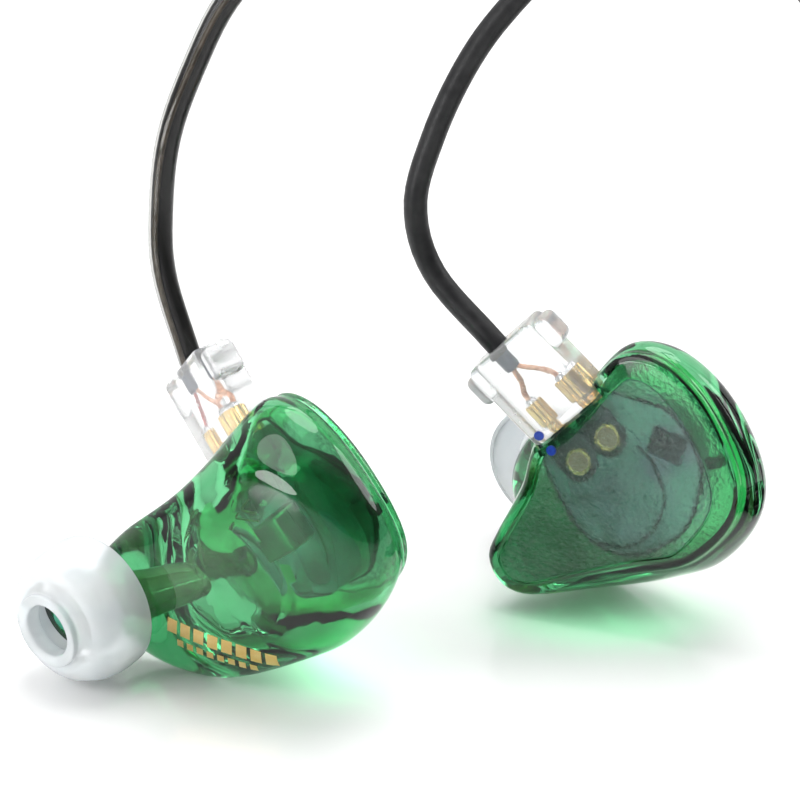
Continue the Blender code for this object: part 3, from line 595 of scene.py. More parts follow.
def tube(name, points, radius, material, sides=14, flat=1.0, shift=(0.0, 0.0), up=None,
         wind=0.0):
    """A tube along points; shift moves its middle in its section, and wind turns that shift."""
    rings = []
    previous = None
    for index, point in enumerate(points):
        ahead = points[min(index + 1, len(points) - 1)]
        behind = points[max(index - 1, 0)]
        way = (ahead - behind).normalized()
        if previous is None:
            previous = up if up else way.orthogonal()
        side = (previous - way * previous.dot(way)).normalized()
        previous = side
        other = way.cross(side)
        turn = wind * index / len(points)
        across = shift[0] * math.cos(turn) - shift[1] * math.sin(turn)
        beside = shift[0] * math.sin(turn) + shift[1] * math.cos(turn)
        middle = point + (side * across + other * beside) * MM
        rings.append([middle + (side * math.cos(angle) * radius
                                + other * math.sin(angle) * radius * flat) * MM
                      for angle in full_turn(sides)])
    return loft(name, rings, material, cap=True)


# ==== materials ===========================================================
def make_material(name, colour, roughness, values=None):
    """A material whose even values stand on the shader's own sockets."""
    material = bpy.data.materials.new(name)
    material.use_nodes = True
    shader = material.node_tree.nodes["Principled BSDF"]
    shader.inputs["Base Color"].default_value = (*colour, 1.0)
    shader.inputs["Roughness"].default_value = roughness
    for socket, value in (values or {}).items():
        shader.inputs[socket].default_value = value
    return material


def new_node(owner, kind, values):
    """A new node of a material or the world, with some of its inputs set."""
    node = owner.node_tree.nodes.new(kind)
    for socket, value in values.items():
        node.inputs[socket].default_value = value
    return node


def join(owner, output, target):
    owner.node_tree.links.new(output, target)


def shader_input(material, socket):
    return material.node_tree.nodes["Principled BSDF"].inputs[socket]


def texture(material, kind, size, detail=3.0, stretch=(1.0, 1.0, 1.0), turn=(0.0, 0.0, 0.0)):
    """A noise or cell pattern whose marks are about size millimetres across."""
    place = new_node(material, "ShaderNodeTexCoord", {})
    mapping = new_node(material, "ShaderNodeMapping", {
        "Scale": stretch, "Rotation": [math.radians(angle) for angle in turn]})
    pattern = new_node(material, kind, {"Scale": 1.0 / (size * MM), "Detail": detail})
    join(material, place.outputs["Object"], mapping.inputs["Vector"])
    join(material, mapping.outputs["Vector"], pattern.inputs["Vector"])
    return pattern.outputs[0]


def mixed(material, slow, fine, share):
    """One pattern made of two: the slow one, with a share of the fine one in it."""
    blend = new_node(material, "ShaderNodeMix", {"Factor": share})
    join(material, slow, blend.inputs["A"])
    join(material, fine, blend.inputs["B"])
    return blend.outputs["Result"]


def add_bump(material, pattern, strength, height):
    """Raise the surface with a pattern, on top of any bump that is already there."""
    normal = shader_input(material, "Normal")
    bump = new_node(material, "ShaderNodeBump", {"Strength": strength, "Distance": height * MM})
    join(material, pattern, bump.inputs["Height"])
    if normal.is_linked:
        join(material, normal.links[0].from_socket, bump.inputs["Normal"])
    join(material, bump.outputs["Normal"], normal)


def add_range(material, pattern, low, high):
    """Let a pattern move the roughness between two limits."""
    limits = new_node(material, "ShaderNodeMapRange", {
        "From Min": 0.3, "From Max": 0.7, "To Min": low, "To Max": high})
    join(material, pattern, limits.inputs["Value"])
    join(material, limits.outputs["Result"], shader_input(material, "Roughness"))


def set_ramp(ramp, positions, colours):
    for stop, position, colour in zip(ramp.color_ramp.elements, positions, colours):
        stop.position = position
        stop.color = (*colour, 1.0)


def add_colours(material, pattern, first, second, low=0.35, high=0.65):
    """Let a pattern mix two colours."""
    ramp = new_node(material, "ShaderNodeValToRGB", {})
    set_ramp(ramp, (low, high), (first, second))
    join(material, pattern, ramp.inputs["Fac"])
    join(material, ramp.outputs["Color"], shader_input(material, "Base Color"))


def add_tone_and_painted_height_shade(material, pattern, deep, bright):
    """Mix two tints by a slow pattern, which is the resin's own uneven tone, and by height in the
    scene, which is painted shade: darker towards the bottom and lighter towards the top.
    """
    place = new_node(material, "ShaderNodeTexCoord", {})
    split = new_node(material, "ShaderNodeSeparateXYZ", {})
    # painted shade: the height in the scene pushes the mix towards the darker tint low down and the
    # lighter tint high up
    height = new_node(material, "ShaderNodeMapRange", {
        "From Min": PAINTED_SHADE_HEIGHT * MM, "From Max": PAINTED_LIGHT_HEIGHT * MM,
        "To Min": -0.26, "To Max": 0.16})
    total = new_node(material, "ShaderNodeMath", {})
    total.operation = "ADD"
    join(material, place.outputs["Object"], split.inputs["Vector"])
    join(material, split.outputs["Z"], height.inputs["Value"])
    join(material, height.outputs["Result"], total.inputs[0])
    join(material, pattern, total.inputs[1])
    add_colours(material, total.outputs["Value"], deep, bright, 0.30, 0.60)


def make_resin():
    """The shells' green resin: two greens mixed by a slow pattern and by height, with painted shade
    low down and painted light high up, and a soft ripple.
    """
    resin = make_material("green_resin", (0.13, 0.62, 0.25), 0.03,
                          {"IOR": RESIN_IOR, "Transmission Weight": 1.0})
    # painted shade and light: the darker green low down and the lighter green high up
    add_tone_and_painted_height_shade(resin, texture(resin, NOISE, 8.0, 2.0), (0.035, 0.30, 0.10),
                      (0.17, 0.68, 0.31))
    ripple = texture(resin, NOISE, 9.0, 1.0, (1.0, 0.45, 1.3), (20, 35, 10))
    add_bump(resin, ripple, 0.15, 0.3)
    return resin


def make_plate_resin():
    """The faceplates' resin: paler, with a pebbled surface and painted bright and dark specks where
    its pebbles bend the light.
    """
    plate = make_material("plate_resin", (0.42, 0.52, 0.50), 0.10,
                          {"IOR": RESIN_IOR, "Transmission Weight": 1.0})
    # a slow pattern of uneven tone, with a share of fine cells that paints the bright and dark
    # specks which the pebbles' refraction gives
    tone_and_painted_specks = mixed(plate, texture(plate, NOISE, 6.0, 2.0), texture(plate, CELLS, 0.42), 0.22)
    # painted shade: the plate's tints are mixed by height as well, darker low down
    add_tone_and_painted_height_shade(plate, tone_and_painted_specks, (0.12, 0.26, 0.20), (0.54, 0.66, 0.64))
    add_bump(plate, texture(plate, CELLS, 0.5), 0.9, 0.10)
    add_bump(plate, texture(plate, NOISE, 0.45, 3.0), 0.6, 0.08)
    return plate


def make_materials():
    """Every finish in the table, and the two resins."""
    paint = {"resin": make_resin(), "plate": make_plate_resin()}
    for key, row in FINISHES.items():
        name, colour, roughness, values, colours, sheen, bump = row
        material = make_material(name, colour, roughness, values)
        if colours:
            add_colours(material, texture(material, *colours[0]), *colours[1:])
        if sheen:
            add_range(material, texture(material, *sheen[0]), *sheen[1:])
        if bump:
            add_bump(material, texture(material, *bump[0]), *bump[1:])
        paint[key] = material
    return paint


# ==== camera, light and floor =============================================
def make_camera():
    target = world_point(CAMERA_TARGET)
    way = Vector((0.0, -math.cos(CAMERA_ELEVATION), math.sin(CAMERA_ELEVATION)))
    data = bpy.data.cameras.new("camera")
    data.sensor_width = SENSOR_WIDTH
    data.lens = SENSOR_WIDTH * CAMERA_DISTANCE / FIELD_WIDTH
    data.clip_start = 0.01
    data.clip_end = 50.0
    camera = bpy.data.objects.new("camera", data)
    camera.location = target + way * CAMERA_DISTANCE * MM
    camera.rotation_euler = (math.pi / 2 - CAMERA_ELEVATION, 0.0, 0.0)
    bpy.context.scene.collection.objects.link(camera)
    bpy.context.scene.camera = camera


def add_light(name, place, size, power, aim=(0.0, 0.0, 0.02)):
    data = bpy.data.lights.new(name, "AREA")
    data.shape = "ELLIPSE"
    data.size, data.size_y = size
    data.energy = power
    light = bpy.data.objects.new(name, data)
    light.location = place
    light.rotation_euler = (Vector(aim) - Vector(place)).to_track_quat("-Z", "Y").to_euler()
    bpy.context.scene.collection.objects.link(light)
    return light


def make_world():
    """A surround that is white above and behind, and dark on the side that is looked from."""
    world = bpy.data.worlds.new("surround")
    bpy.context.scene.world = world
    world.use_nodes = True
    place = new_node(world, "ShaderNodeTexCoord", {})
    lift = new_node(world, "ShaderNodeVectorMath", {})
    lift.operation = "DOT_PRODUCT"
    lift.inputs[1].default_value = WHITE_WAY
    ramp = new_node(world, "ShaderNodeValToRGB", {})
    set_ramp(ramp, (0.0, 0.42), ((0.10, 0.10, 0.10), (1.0, 1.0, 1.0)))
    background = world.node_tree.nodes["Background"]
    background.inputs["Strength"].default_value = WORLD_STRENGTH
    join(world, place.outputs["Generated"], lift.inputs[0])
    join(world, lift.outputs["Value"], ramp.inputs["Fac"])
    join(world, ramp.outputs["Color"], background.inputs["Color"])


def add_glow(prefix, x, y):
    """A small green light close to the floor, which no mirror or clear thing shows."""
    glow = add_light(prefix + "_resin_glow", world_point((x, y, GLOW_HEIGHT)), (0.020, 0.014),
                     GLOW_POWER, world_point((x, y, 0.0)))
    glow.data.color = GLOW_COLOUR
    glow.visible_camera = False
    glow.visible_glossy = False
    glow.visible_transmission = False


def make_stage():
    make_world()
    for name, place, size, power in LIGHTS:
        light = add_light(name, place, size, power)
        light.visible_glossy = name != "low_fill"
    for prefix, (x, y) in GLOWS.items():
        add_glow(prefix, x, y)
    shape = bmesh.new()
    bmesh.ops.create_grid(shape, x_segments=8, y_segments=8, size=6.0)
    material = make_material("white_floor", (0.93, 0.93, 0.93), 0.16)
    add_range(material, texture(material, NOISE, 60.0, 2.0), 0.14, 0.2)
    floor = new_object("floor", shape, material, smooth=False)
    bpy.context.scene.view_settings.view_transform = "Standard"


# ==== cable ===============================================================
def arc_points(radii, angles, heights, count):
    """Points on a spiral about the coil's centre, from the first of each pair to the second."""
    points = []
    for step in range(count):
        share = step / (count - 1)
        radius = radii[0] + (radii[1] - radii[0]) * share
        angle = math.radians(angles[0] + (angles[1] - angles[0]) * share)
        height = heights[0] + (heights[1] - heights[0]) * share
        points.append((COIL_CENTRE[0] + radius * math.cos(angle),
                       COIL_CENTRE[1] + radius * math.sin(angle), height))
    return points


def splitter_ends():
    """The middles of the splitter's two ends, first the branches' and then the trunk's."""
    middle = (ROUTES["right"]["turn_radius"] + ROUTES["left"]["turn_radius"]) / 2
    return [Vector(arc_points((middle, middle), (angle, angle), (FLOOR_LINE + 0.9,) * 2, 2)[0])
            for angle in SPLITTER_ANGLES]


def branch_points(prefix):
    """From the hook's end down to the floor and round the coil to the splitter."""
    route = ROUTES[prefix]
    radius = route["turn_radius"]
    around = arc_points((radius, radius), (route["turn_start"], TURN_END), (FLOOR_LINE,) * 2, 12)
    return [world_point(point) for point in smooth_line(route["cord"] + around,
                                                        BRANCH_SPACING)]


def trunk_points():
    """From the splitter into the coil, down its lower layer, up, out and to the mini plug."""
    start = splitter_ends()[1]
    route = [tuple(start + Vector(step)) for step in
             ((0.2, -0.6, 0.0), (-0.5, 2.0, -0.3), (-0.2, 4.8, -0.85))]
    route += arc_points((19.5, 19.3), (-168.0, -200.0), (FLOOR_LINE, FLOOR_LINE), 4)
    outer, inner = COIL_RADII
    low, high = COIL_HEIGHTS
    end_low = -260.0 - 360.0 * COIL_TURNS
    end_high = end_low - 90.0 - 360.0 * COIL_TURNS
    per_turn = 20
    count = per_turn * COIL_TURNS + 1
    route += arc_points((18.6, 17.3), (-225.0, -250.0), (FLOOR_LINE + 0.1, low), 2)
    route += arc_points((outer, inner), (-260.0, end_low), (low, low), count)
    route += arc_points((inner, inner), (end_low - 25.0, end_low - 65.0), (2.1, 3.2), 2)
    route += arc_points((inner, outer), (end_low - 90.0, end_high), (high, high), count)
    route += [(85.9, 4.8, 3.45), (86.2, 0.2, 3.75), (85.9, -5.2, 4.1), (84.2, -10.0, 3.7),
              (80.6, -12.7, 3.1), (77.6, -13.15, 2.97), (74.0, -13.25, 2.95),
              (69.6, -13.39, 2.95)]
    return [world_point(point) for point in smooth_line(route, TRUNK_SPACING)]


def make_branches(paint):
    """The two limp cords, from the hooks' ends round to the splitter."""
    cords = []
    for prefix in MONITORS:
        points = branch_points(prefix)
        cord = tube(prefix + "_soft_cord", points, CABLE_RADIUS, paint["cord"])
        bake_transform(cord)
        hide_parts(prefix + "_branch_cord")
        cords.append((cord, points))
    return cords


def make_splitter(paint):
    """The moulded junction: a rounded block with a waist and two grip ridges."""
    start, end = splitter_ends()
    way = (end - start).normalized()
    across = Vector((-way.y, way.x, 0.0))
    length = (end - start).length
    rings = []
    sections = ((0.0, 0.72, 0.78), (0.6, 0.92, 0.95), (1.6, 1.0, 1.0), (4.2, 1.0, 1.0),
                (4.6, 0.94, 0.9), (5.0, 1.0, 1.0), (5.8, 1.0, 1.0), (6.2, 0.94, 0.9),
                (6.6, 1.0, 1.0), (length - 1.6, 0.86, 1.0), (length - 0.5, 0.62, 0.9),
                (length, 0.5, 0.75))
    for distance, width, height in sections:
        ring = []
        for angle in full_turn(32):
            wide, high = squarish(angle, 0.55)
            ring.append(world_point(start + way * distance
                                    + across * wide * SPLITTER_HALF_WIDTH * width
                                    + UP * high * SPLITTER_HALF_HEIGHT * height))
        rings.append(ring)
    item = loft("junction", rings, paint["rubber"], cap=True)
    settle(item, ROOT, "black_rubber", "splitter")
    return item


def make_trunk(paint):
    points = trunk_points()
    item = tube("trunk_cord", points, CABLE_RADIUS, paint["cord"], sides=12)
    settle(item, ROOT, "black_cord", "trunk_lead_in", "trunk_coil", "trunk_lead_out")
    return item, points


def make_tie(paint):
    """The strap round the coil: a closed band with rounded corners."""
    axes = turned_axes(math.radians(TIE_ANGLE))
    middle = Vector(arc_points(((COIL_INNER + COIL_OUTER) / 2,) * 2, (TIE_ANGLE,) * 2,
                               (0.0, 0.0), 2)[0])
    half = (COIL_OUTER - COIL_INNER) / 2 + 0.5
    tall = (COIL_TOP - COIL_BOTTOM) / 2 + 0.24
    centre = middle + UP * (COIL_BOTTOM + COIL_TOP) / 2
    outer_ring = []
    inner_ring = []
    for angle in full_turn(48):
        wide, high = squarish(angle, 0.3)
        for ring, extra in ((outer_ring, STRAP_HALF), (inner_ring, -STRAP_HALF)):
            ring.append(centre + axes[0] * wide * (half + extra)
                        + axes[2] * high * (tall + extra))
    rings = []
    for ring, side in ((outer_ring, -1), (outer_ring, 1), (inner_ring, 1), (inner_ring, -1),
                       (outer_ring, -1)):
        rings.append([world_point(point + axes[1] * side * STRAP_HALF_WIDTH) for point in ring])
    item = merged(loft("strap", rings, paint["rubber"]))
    settle(item, ROOT, "black_rubber", "coil_tie")
    return item


def make_mini_plug(paint):
    """The 3.5 mm plug, turned in finer steps than its solids."""
    start = world_point(MINI_CENTRE)
    rows = [("boot", BOOT_PROFILE, "rubber", 36), ("barrel", BARREL_PROFILE, "shell", 72)]
    place = CONTACTS_START
    for name, length, finish in CONTACT_ROWS:
        profile = [(0.0, place), (1.68, place), (1.75, place + 0.07),
                   (1.75, place + length - 0.07), (1.68, place + length), (0.0, place + length)]
        rows.append((name, profile, finish, 36))
        place += length + 0.06
    tip = [(radius, place + distance) for radius, distance in PLUG_TIP_PROFILE]
    rows.append(("tip", tip, "gold", 36))
    pieces = []
    for name, profile, finish, steps in rows:
        item = lathe("plug_" + name, start, MINI_WAY, profile, paint[finish], steps, 36, 0.10)
        settle(item, ROOT, FINISHES[finish][0], "mini_plug_" + name)
        pieces.append(item)
    return pieces


def make_cable(paint):
    junction = make_splitter(paint)
    for cord, points in make_branches(paint):
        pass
    trunk, points = make_trunk(paint)
    pieces = make_mini_plug(paint)
    strap = make_tie(paint)


def hook_points(frame):
    """The ear hook's line: straight out of the plug, then through its own points."""
    inside, outside = [frame.point(plug_point(distance, CABLE_ACROSS))
                       for distance in (SLEEVE_START, PLUG_LENGTH + 0.4)]
    route = [outside] + [world_point(point) for point in ROUTES[frame.prefix]["hook"]]
    fine = [Vector(point) for point in curve_through(route, 24)]
    count = round(line_length(fine) / (HOOK_SPACING * MM))
    return [inside] + spread(fine, count)


def make_hook(frame, paint):
    """The formed part: the right one is a lead and a shaping wire in a clear sleeve."""
    points = hook_points(frame)
    if frame.prefix == "left":
        sleeve = tube("left_hook_sleeve", points, CABLE_RADIUS, paint["cord"], 24)
        pieces = [(sleeve, "black_cord")]
    else:
        front = Vector((-0.75, -0.66, 0.0))
        sleeve = tube("right_hook_sleeve", points, CABLE_RADIUS, paint["sleeve"], 28, up=front)
        lead = tube("right_hook_lead", points, 0.66, paint["cord"], 20, 0.92,
                    shift=(-0.14, -0.08), up=front)
        wire = tube("right_hook_wire", points, 0.24, paint["wire"], 12, shift=(0.78, 0.0),
                    up=front, wind=1.5)
        pieces = [(sleeve, "clear_resin"), (lead, "black_cord"), (wire, "black_cord")]
    jacket = lathe(frame.prefix + "_hook_jacket",
                   frame.point(plug_point(CABLE_REST, CABLE_ACROSS)),
                   frame.way(plug_axes()[0]), JACKET_PROFILE, paint["jacket"], 28)
    pieces.append((jacket, "black_cord"))
    way = (branch_points(frame.prefix)[0] - points[-2]).normalized()
    collar = lathe(frame.prefix + "_hook_collar", points[-1] - way * 0.9 * MM, way,
                   COLLAR_PROFILE, paint["rubber"], 32)
    pieces.append((collar, "black_cord"))
    for item, finish in pieces:
        solids = [frame.prefix + "_ear_hook"] if item == sleeve else []
        settle(item, frame.prefix + "_plug", finish, *solids)


# ==== monitors ============================================================
def section_loop(section):
    """One loop of the shell: the plate's outline, drawn towards a circle with depth."""
    depth, size, round_share, centre_x, centre_y, radius = section
    round_share = min(max(round_share, 0.0), 1.0)
    middle = Vector((*OUTLINE_CENTRE, 0.0))
    loop = []
    for index, point in enumerate(outline_loop()):
        angle = PLUG_ANGLE + math.tau * index / LOOP_POINTS
        grown = middle + (point - middle) * size
        round_point = Vector((centre_x + radius * math.cos(angle),
                              centre_y + radius * math.sin(angle), 0.0))
        place = grown.lerp(round_point, round_share)
        loop.append(Vector((place.x, place.y, depth)))
    return loop


def cavity_loop(sections, depth, wall):
    """The hollow's loop at a depth: the shell's own loop, moved in by the wall and uneven."""
    section = min(sections, key=lambda row: abs(row[0] - depth))
    loop = section_loop([depth] + list(section[1:]))
    loop = inset_loop(loop, [min(wall, CAVITY_INSET)] * len(loop))
    middle = sum(loop, Vector()) / len(loop)
    uneven = min(max((-depth - 2.0) / 3.0, 0.0), 1.0)
    result = []
    for point in loop:
        way = Vector((point.x - middle.x, point.y - middle.y, 0.0))
        reach = way.length
        ripple = noise.noise(point * RIPPLE_PACE) * RIPPLE_HEIGHT
        length = max(reach - max(wall - CAVITY_INSET, 0.0) + ripple * uneven, 0.4)
        result.append(Vector((middle.x, middle.y, depth)) + way * (length / reach))
    return result


def seat_cutter(frame):
    """The room that the plug's end needs, cut from the shell, the faceplate and the block."""
    return block("seat", frame, plug_point(*SEAT_PLACE), SEAT_SIZE, plug_axes())


def make_shell(frame, paint):
    """The poured shell: a hollow behind the faceplate, and solid resin round the sound horn."""
    fine = curve_through(SHELL_SECTIONS[:-1], 8)
    step = len(fine) / SHELL_RINGS
    sections = [fine[min(int(index * step), len(fine) - 1)] for index in range(SHELL_RINGS)]
    sections[0] = [-PLATE_THICKNESS] + list(sections[0][1:])
    sections += [fine[-1], list(SHELL_SECTIONS[-1])]
    rings = [[frame.point(point) for point in section_loop(section)] for section in sections]
    shell = loft(frame.prefix + "_poured_shell", rings, paint["resin"], cap=True)
    hollow = [[frame.point(point) for point in cavity_loop(sections, depth, wall)]
              for depth, wall in curve_through(CAVITY_ROWS, 4)]
    combine(shell, loft("hollow", hollow, None, cap=True))
    for start, end, radius in NOZZLE_BORES:
        combine(shell, rod("bore", frame.point(start), frame.point(end), radius, steps=40))
    combine(shell, block("opening", frame, plug_point(*OPENING_PLACE), OPENING_SIZE, plug_axes()))
    combine(shell, seat_cutter(frame))
    mark_joint(shell, frame, paint)
    settle(shell, ROOT, "green_resin", frame.prefix + "_shell")
    return shell


def mark_joint(shell, frame, paint):
    """Give the glued face under the faceplate a finish that light passes straight through."""
    shell.data.materials.append(paint["joint"])
    inverse = frame.matrix.inverted()
    for face in shell.data.polygons:
        height = (inverse @ face.center).z / MM
        if abs(height + PLATE_THICKNESS) < 0.02:
            face.material_index = 1


def rim_distances(loop, base):
    """How far in the rim line runs: further on the broad side than round the point."""
    middle = Vector((*OUTLINE_CENTRE, 0.0))
    return [base + RIM_GROWTH * max(0.0, (point - middle).normalized().dot(RIM_WAY))
            for point in loop]


def make_faceplate(frame, paint):
    """The faceplate: a rounded edge, a fine rim line and a pebbled field inside it."""
    loop = outline_loop()
    even = ((WALL, -PLATE_THICKNESS), (0.0, -PLATE_THICKNESS), (0.0, -0.72), (0.05, -0.50),
            (0.18, -0.29), (0.39, -0.12), (0.66, -0.03), (0.95, 0.0))
    rows = [(inset_loop(loop, [distance] * len(loop)), height) for distance, height in even]
    for base, height in ((1.22, 0.0), (1.32, -0.17), (1.40, -0.17), (1.50, 0.0)):
        rows.append((inset_loop(loop, rim_distances(loop, base)), height))
    rings = [[frame.point((point.x, point.y, height)) for point in row] for row, height in rows]
    finishes = [2] + [0] * (len(rings) - 3) + [1]
    plate = loft(frame.prefix + "_cover", rings, paint["resin"], cap=True, finishes=finishes)
    plate.data.materials.append(paint["plate"])
    plate.data.materials.append(paint["joint"])
    combine(plate, seat_cutter(frame))
    settle(plate, ROOT, "green_resin", frame.prefix + "_faceplate")
    return plate


def socket_loop():
    """The block's outline, whose straight side faces the plug."""
    flat, across, _ = turned_axes(PLUG_ANGLE)
    ends = [PLUG_CENTRE + flat + across * (SOCKET_HALF * side) for side in (-1, 1)]
    route = [(ends[0].x, ends[0].y, 0.0)] + [(x, y, 0.0) for x, y in SOCKET_OUTLINE]
    route.append((ends[1].x, ends[1].y, 0.0))
    return spread(curve_through(route, 24), 72)


def make_socket(frame, paint):
    """The smoked block with its two bores and its recess, and its edge line, ridge and small inner
    parts.
    """
    loop = socket_loop()
    rings = [[frame.point((point.x, point.y, height)) for point in loop]
             for height in (SOCKET_BOTTOM, SOCKET_TOP)]
    item = loft(frame.prefix + "_smoked_block", rings, paint["smoke"], cap=True)
    soften(item, 0.3)
    recess = rod("recess", frame.point((*RECESS_CENTRE, SOCKET_BOTTOM - 1.0)),
                 frame.point((*RECESS_CENTRE, SOCKET_TOP - 1.0)), RECESS_RADIUS, steps=48)
    combine(item, recess)
    for across in (-PIN_SPREAD, PIN_SPREAD):
        bore = rod("bore", frame.point(plug_point(1.0, across, PIN_HEIGHT)),
                   frame.point(plug_point(-CONTACT_LENGTH - 2 * GAP, across, PIN_HEIGHT)),
                   CONTACT_RADIUS + GAP)
        combine(item, bore)
    combine(item, seat_cutter(frame))
    settle(item, ROOT, "smoked_resin", frame.prefix + "_socket_block")
    make_socket_details(frame, loop, paint)


def make_socket_details(frame, loop, paint):
    """The block's dark edge line, its ridge, and the two small inner parts."""
    lines = {"_block_edge": (spread(loop, 90), 0.2, SOCKET_TOP - 0.10),
             "_block_ridge": (spread(curve_through(RIDGE_OUTLINE, 16), 60), 0.14,
                              SOCKET_TOP)}
    for name, (points, radius, height) in lines.items():
        places = [frame.point((point.x, point.y, height)) for point in points]
        line = tube(frame.prefix + name, places, radius, paint["smoke_dark"], 10,
                    up=frame.way(UP))
        settle(line, ROOT, "smoked_resin")
    blocks = (("_crossover", (3.5, 2.9, SOCKET_TOP - 0.29), (3.6, 2.9, 0.7), -16.0, 0.25),
              ("_clip", (8.0, 2.0, SOCKET_TOP - 0.34), (1.5, 1.1, 0.8), 20.0, 0.15))
    for name, centre, size, turn, edge in blocks:
        piece = block(frame.prefix + name, frame, centre, size, turned_axes(math.radians(turn)),
                      paint["smoke_dark"])
        soften(piece, edge)
        settle(piece, ROOT, "smoked_resin")


def make_contacts(frame, paint):
    """Two gold sleeves, each with a ringed round face that shows through the faceplate."""
    along = plug_axes()[0]
    bore = PIN_RADIUS + 0.09
    deep = CONTACT_LENGTH - 0.4
    profile = [(0.0, CONTACT_LENGTH), (0.75, CONTACT_LENGTH), (0.9, CONTACT_LENGTH - 0.15),
               (0.9, 3.4), (0.8, 3.3), (0.8, 3.0), (0.9, 2.9), (0.9, 0.12), (0.82, 0.0),
               (bore, 0.0), (bore, deep), (0.0, deep)]
    for number, across in enumerate((-PIN_SPREAD, PIN_SPREAD), start=1):
        start = frame.point(plug_point(-2 * GAP, across, PIN_HEIGHT))
        item = lathe(f"{frame.prefix}_sleeve_{number}", start, frame.way(-along), profile,
                     paint["gold"])
        settle(item, ROOT, "gold_plate", f"{frame.prefix}_socket_contact_{number}")
        place = plug_point(FACE_PLACE, across)
        centre = frame.point((place.x, place.y, SOCKET_TOP + 0.05))
        out = frame.way(UP)
        ring = [(0.98, 0.0), (1.22, 0.0), (1.22, 0.05), (1.16, 0.08), (1.04, 0.08), (0.98, 0.05)]
        face = [(0.0, 0.0), (0.96, 0.0), (0.96, 0.03), (0.6, 0.04), (0.0, 0.05)]
        make_surround(frame, number, across, paint)
        for name, shape, finish, closed in (("ring", ring, "gold", True),
                                            ("face", face, "contact", False)):
            piece = lathe(f"{frame.prefix}_contact_{name}_{number}", centre, out, shape,
                          paint[finish], 40, closed=closed)
            settle(piece, ROOT, "gold_plate")


def make_surround(frame, number, across, paint):
    """The dark round-ended seat that holds one contact, from the plug's side to its face."""
    flat, wide, out = turned_axes(PLUG_ANGLE)
    rings = []
    for height, reach in ((SOCKET_TOP - 0.5, 1.86), (SOCKET_TOP + 0.03, 1.9),
                          (SOCKET_TOP + 0.06, 1.86)):
        ring = []
        for angle in full_turn(40):
            end = plug_point(FACE_PLACE if math.cos(angle) < 0 else -1.9, across)
            place = end + (flat * math.cos(angle) + wide * math.sin(angle)) * reach
            ring.append(frame.point((place.x, place.y, height)))
        rings.append(ring)
    item = loft(f"{frame.prefix}_contact_seat_{number}", rings, paint["smoke_dark"], cap=True)
    settle(item, ROOT, "smoked_resin")


def make_driver(frame, paint):
    """The driver's can with a lid seam."""
    axes = turned_axes(DRIVER_TURN)
    can = block(frame.prefix + "_driver_can", frame, DRIVER_CENTRE, DRIVER_SIZE, axes,
                paint["steel"])
    soften(can, 0.35, 4)
    lid = block("lid", frame, Vector(DRIVER_CENTRE) + Vector((0, 0, 0.1)),
                (DRIVER_SIZE[0] + 0.3, DRIVER_SIZE[1] + 0.3, 0.08), axes)
    inner = block("inner", frame, Vector(DRIVER_CENTRE), (DRIVER_SIZE[0] - 0.14,
                                                          DRIVER_SIZE[1] - 0.14, 3.0), axes)
    combine(lid, inner)
    combine(can, lid)
    settle(can, ROOT, "steel", frame.prefix + "_driver")


def make_horn(frame, paint):
    """The sound horn: a flared tube with a rim at each end, cast into the neck."""
    start = frame.point(HORN_NARROW)
    end = frame.point(HORN_WIDE)
    length = (end - start).length / MM
    profile = [(0.6, 0.0), (1.25, 0.0), (1.35, 0.15), (1.35, 0.8), (1.25, 0.95),
               (1.45, length * 0.3), (1.85, length * 0.6), (2.15, length - 0.9),
               (2.3, length - 0.75), (2.3, length - 0.15), (2.2, length), (1.5, length),
               (1.2, length * 0.6), (0.75, length * 0.3)]
    item = lathe(frame.prefix + "_flared_horn", start, end - start, profile, paint["horn"], 48,
                 closed=True)
    settle(item, ROOT, "clear_resin", frame.prefix + "_sound_horn")


def make_tip(frame, paint):
    """The soft tip: its profile turned on a smooth closed curve, with a thin skirt."""
    rows = curve_through(TIP_PROFILE, 4, closed=True)[:-1]
    item = lathe(frame.prefix + "_soft_tip", frame.point(TIP_CENTRE), frame.way(NOZZLE_WAY), rows,
                 paint["silicone"], 72, closed=True)
    settle(item, frame.prefix + "_tip", "white_silicone", frame.prefix + "_ear_tip")


def make_plug_body(frame, paint):
    """The clear moulding, cast round the crimps and the wires, with ears at the cable's end."""
    axes = plug_axes()
    body = block(frame.prefix + "_clear_moulding", frame, plug_point((PLUG_LENGTH + GAP) / 2, 0.0),
                 (PLUG_LENGTH - GAP, PLUG_WIDTH, PLUG_DEPTH), axes, paint["clear"])
    soften(body, 0.7, 5)
    ears = block("ears", frame, plug_point((EAR_START + EAR_END) / 2, 0.0),
                 (EAR_END - EAR_START, PLUG_WIDTH + 2 * EAR_REACH, PLUG_DEPTH - 1.0), axes)
    soften(ears, 0.75, 5)
    combine(body, ears, "UNION")
    settle(body, frame.prefix + "_plug", "clear_resin", frame.prefix + "_plug_body")


def make_pins(frame, paint):
    """The two pins with fluted crimp barrels and collars."""
    along = frame.way(plug_axes()[0])
    profile = [(0.0, -PIN_LENGTH), (0.2, -PIN_LENGTH), (0.36, -PIN_LENGTH + 0.15),
               (PIN_RADIUS, -PIN_LENGTH + 0.4), (PIN_RADIUS, 0.1), (0.78, 0.15), (0.85, 0.22),
               (0.85, 0.55), (0.78, 0.62), (0.62, 0.68), (0.62, 1.0), (0.9, 1.1),
               (1.0, 1.25, True), (1.0, 3.35, True), (0.92, 3.5), (0.0, 3.5)]
    for number, across in enumerate((-PIN_SPREAD, PIN_SPREAD), start=1):
        item = lathe(f"{frame.prefix}_pin_{number}",
                     frame.point(plug_point(0.0, across, PIN_HEIGHT)), along, profile,
                     paint["gold"], 72, 12, 0.2)
        settle(item, frame.prefix + "_plug", "gold_plate", f"{frame.prefix}_plug_pin_{number}")


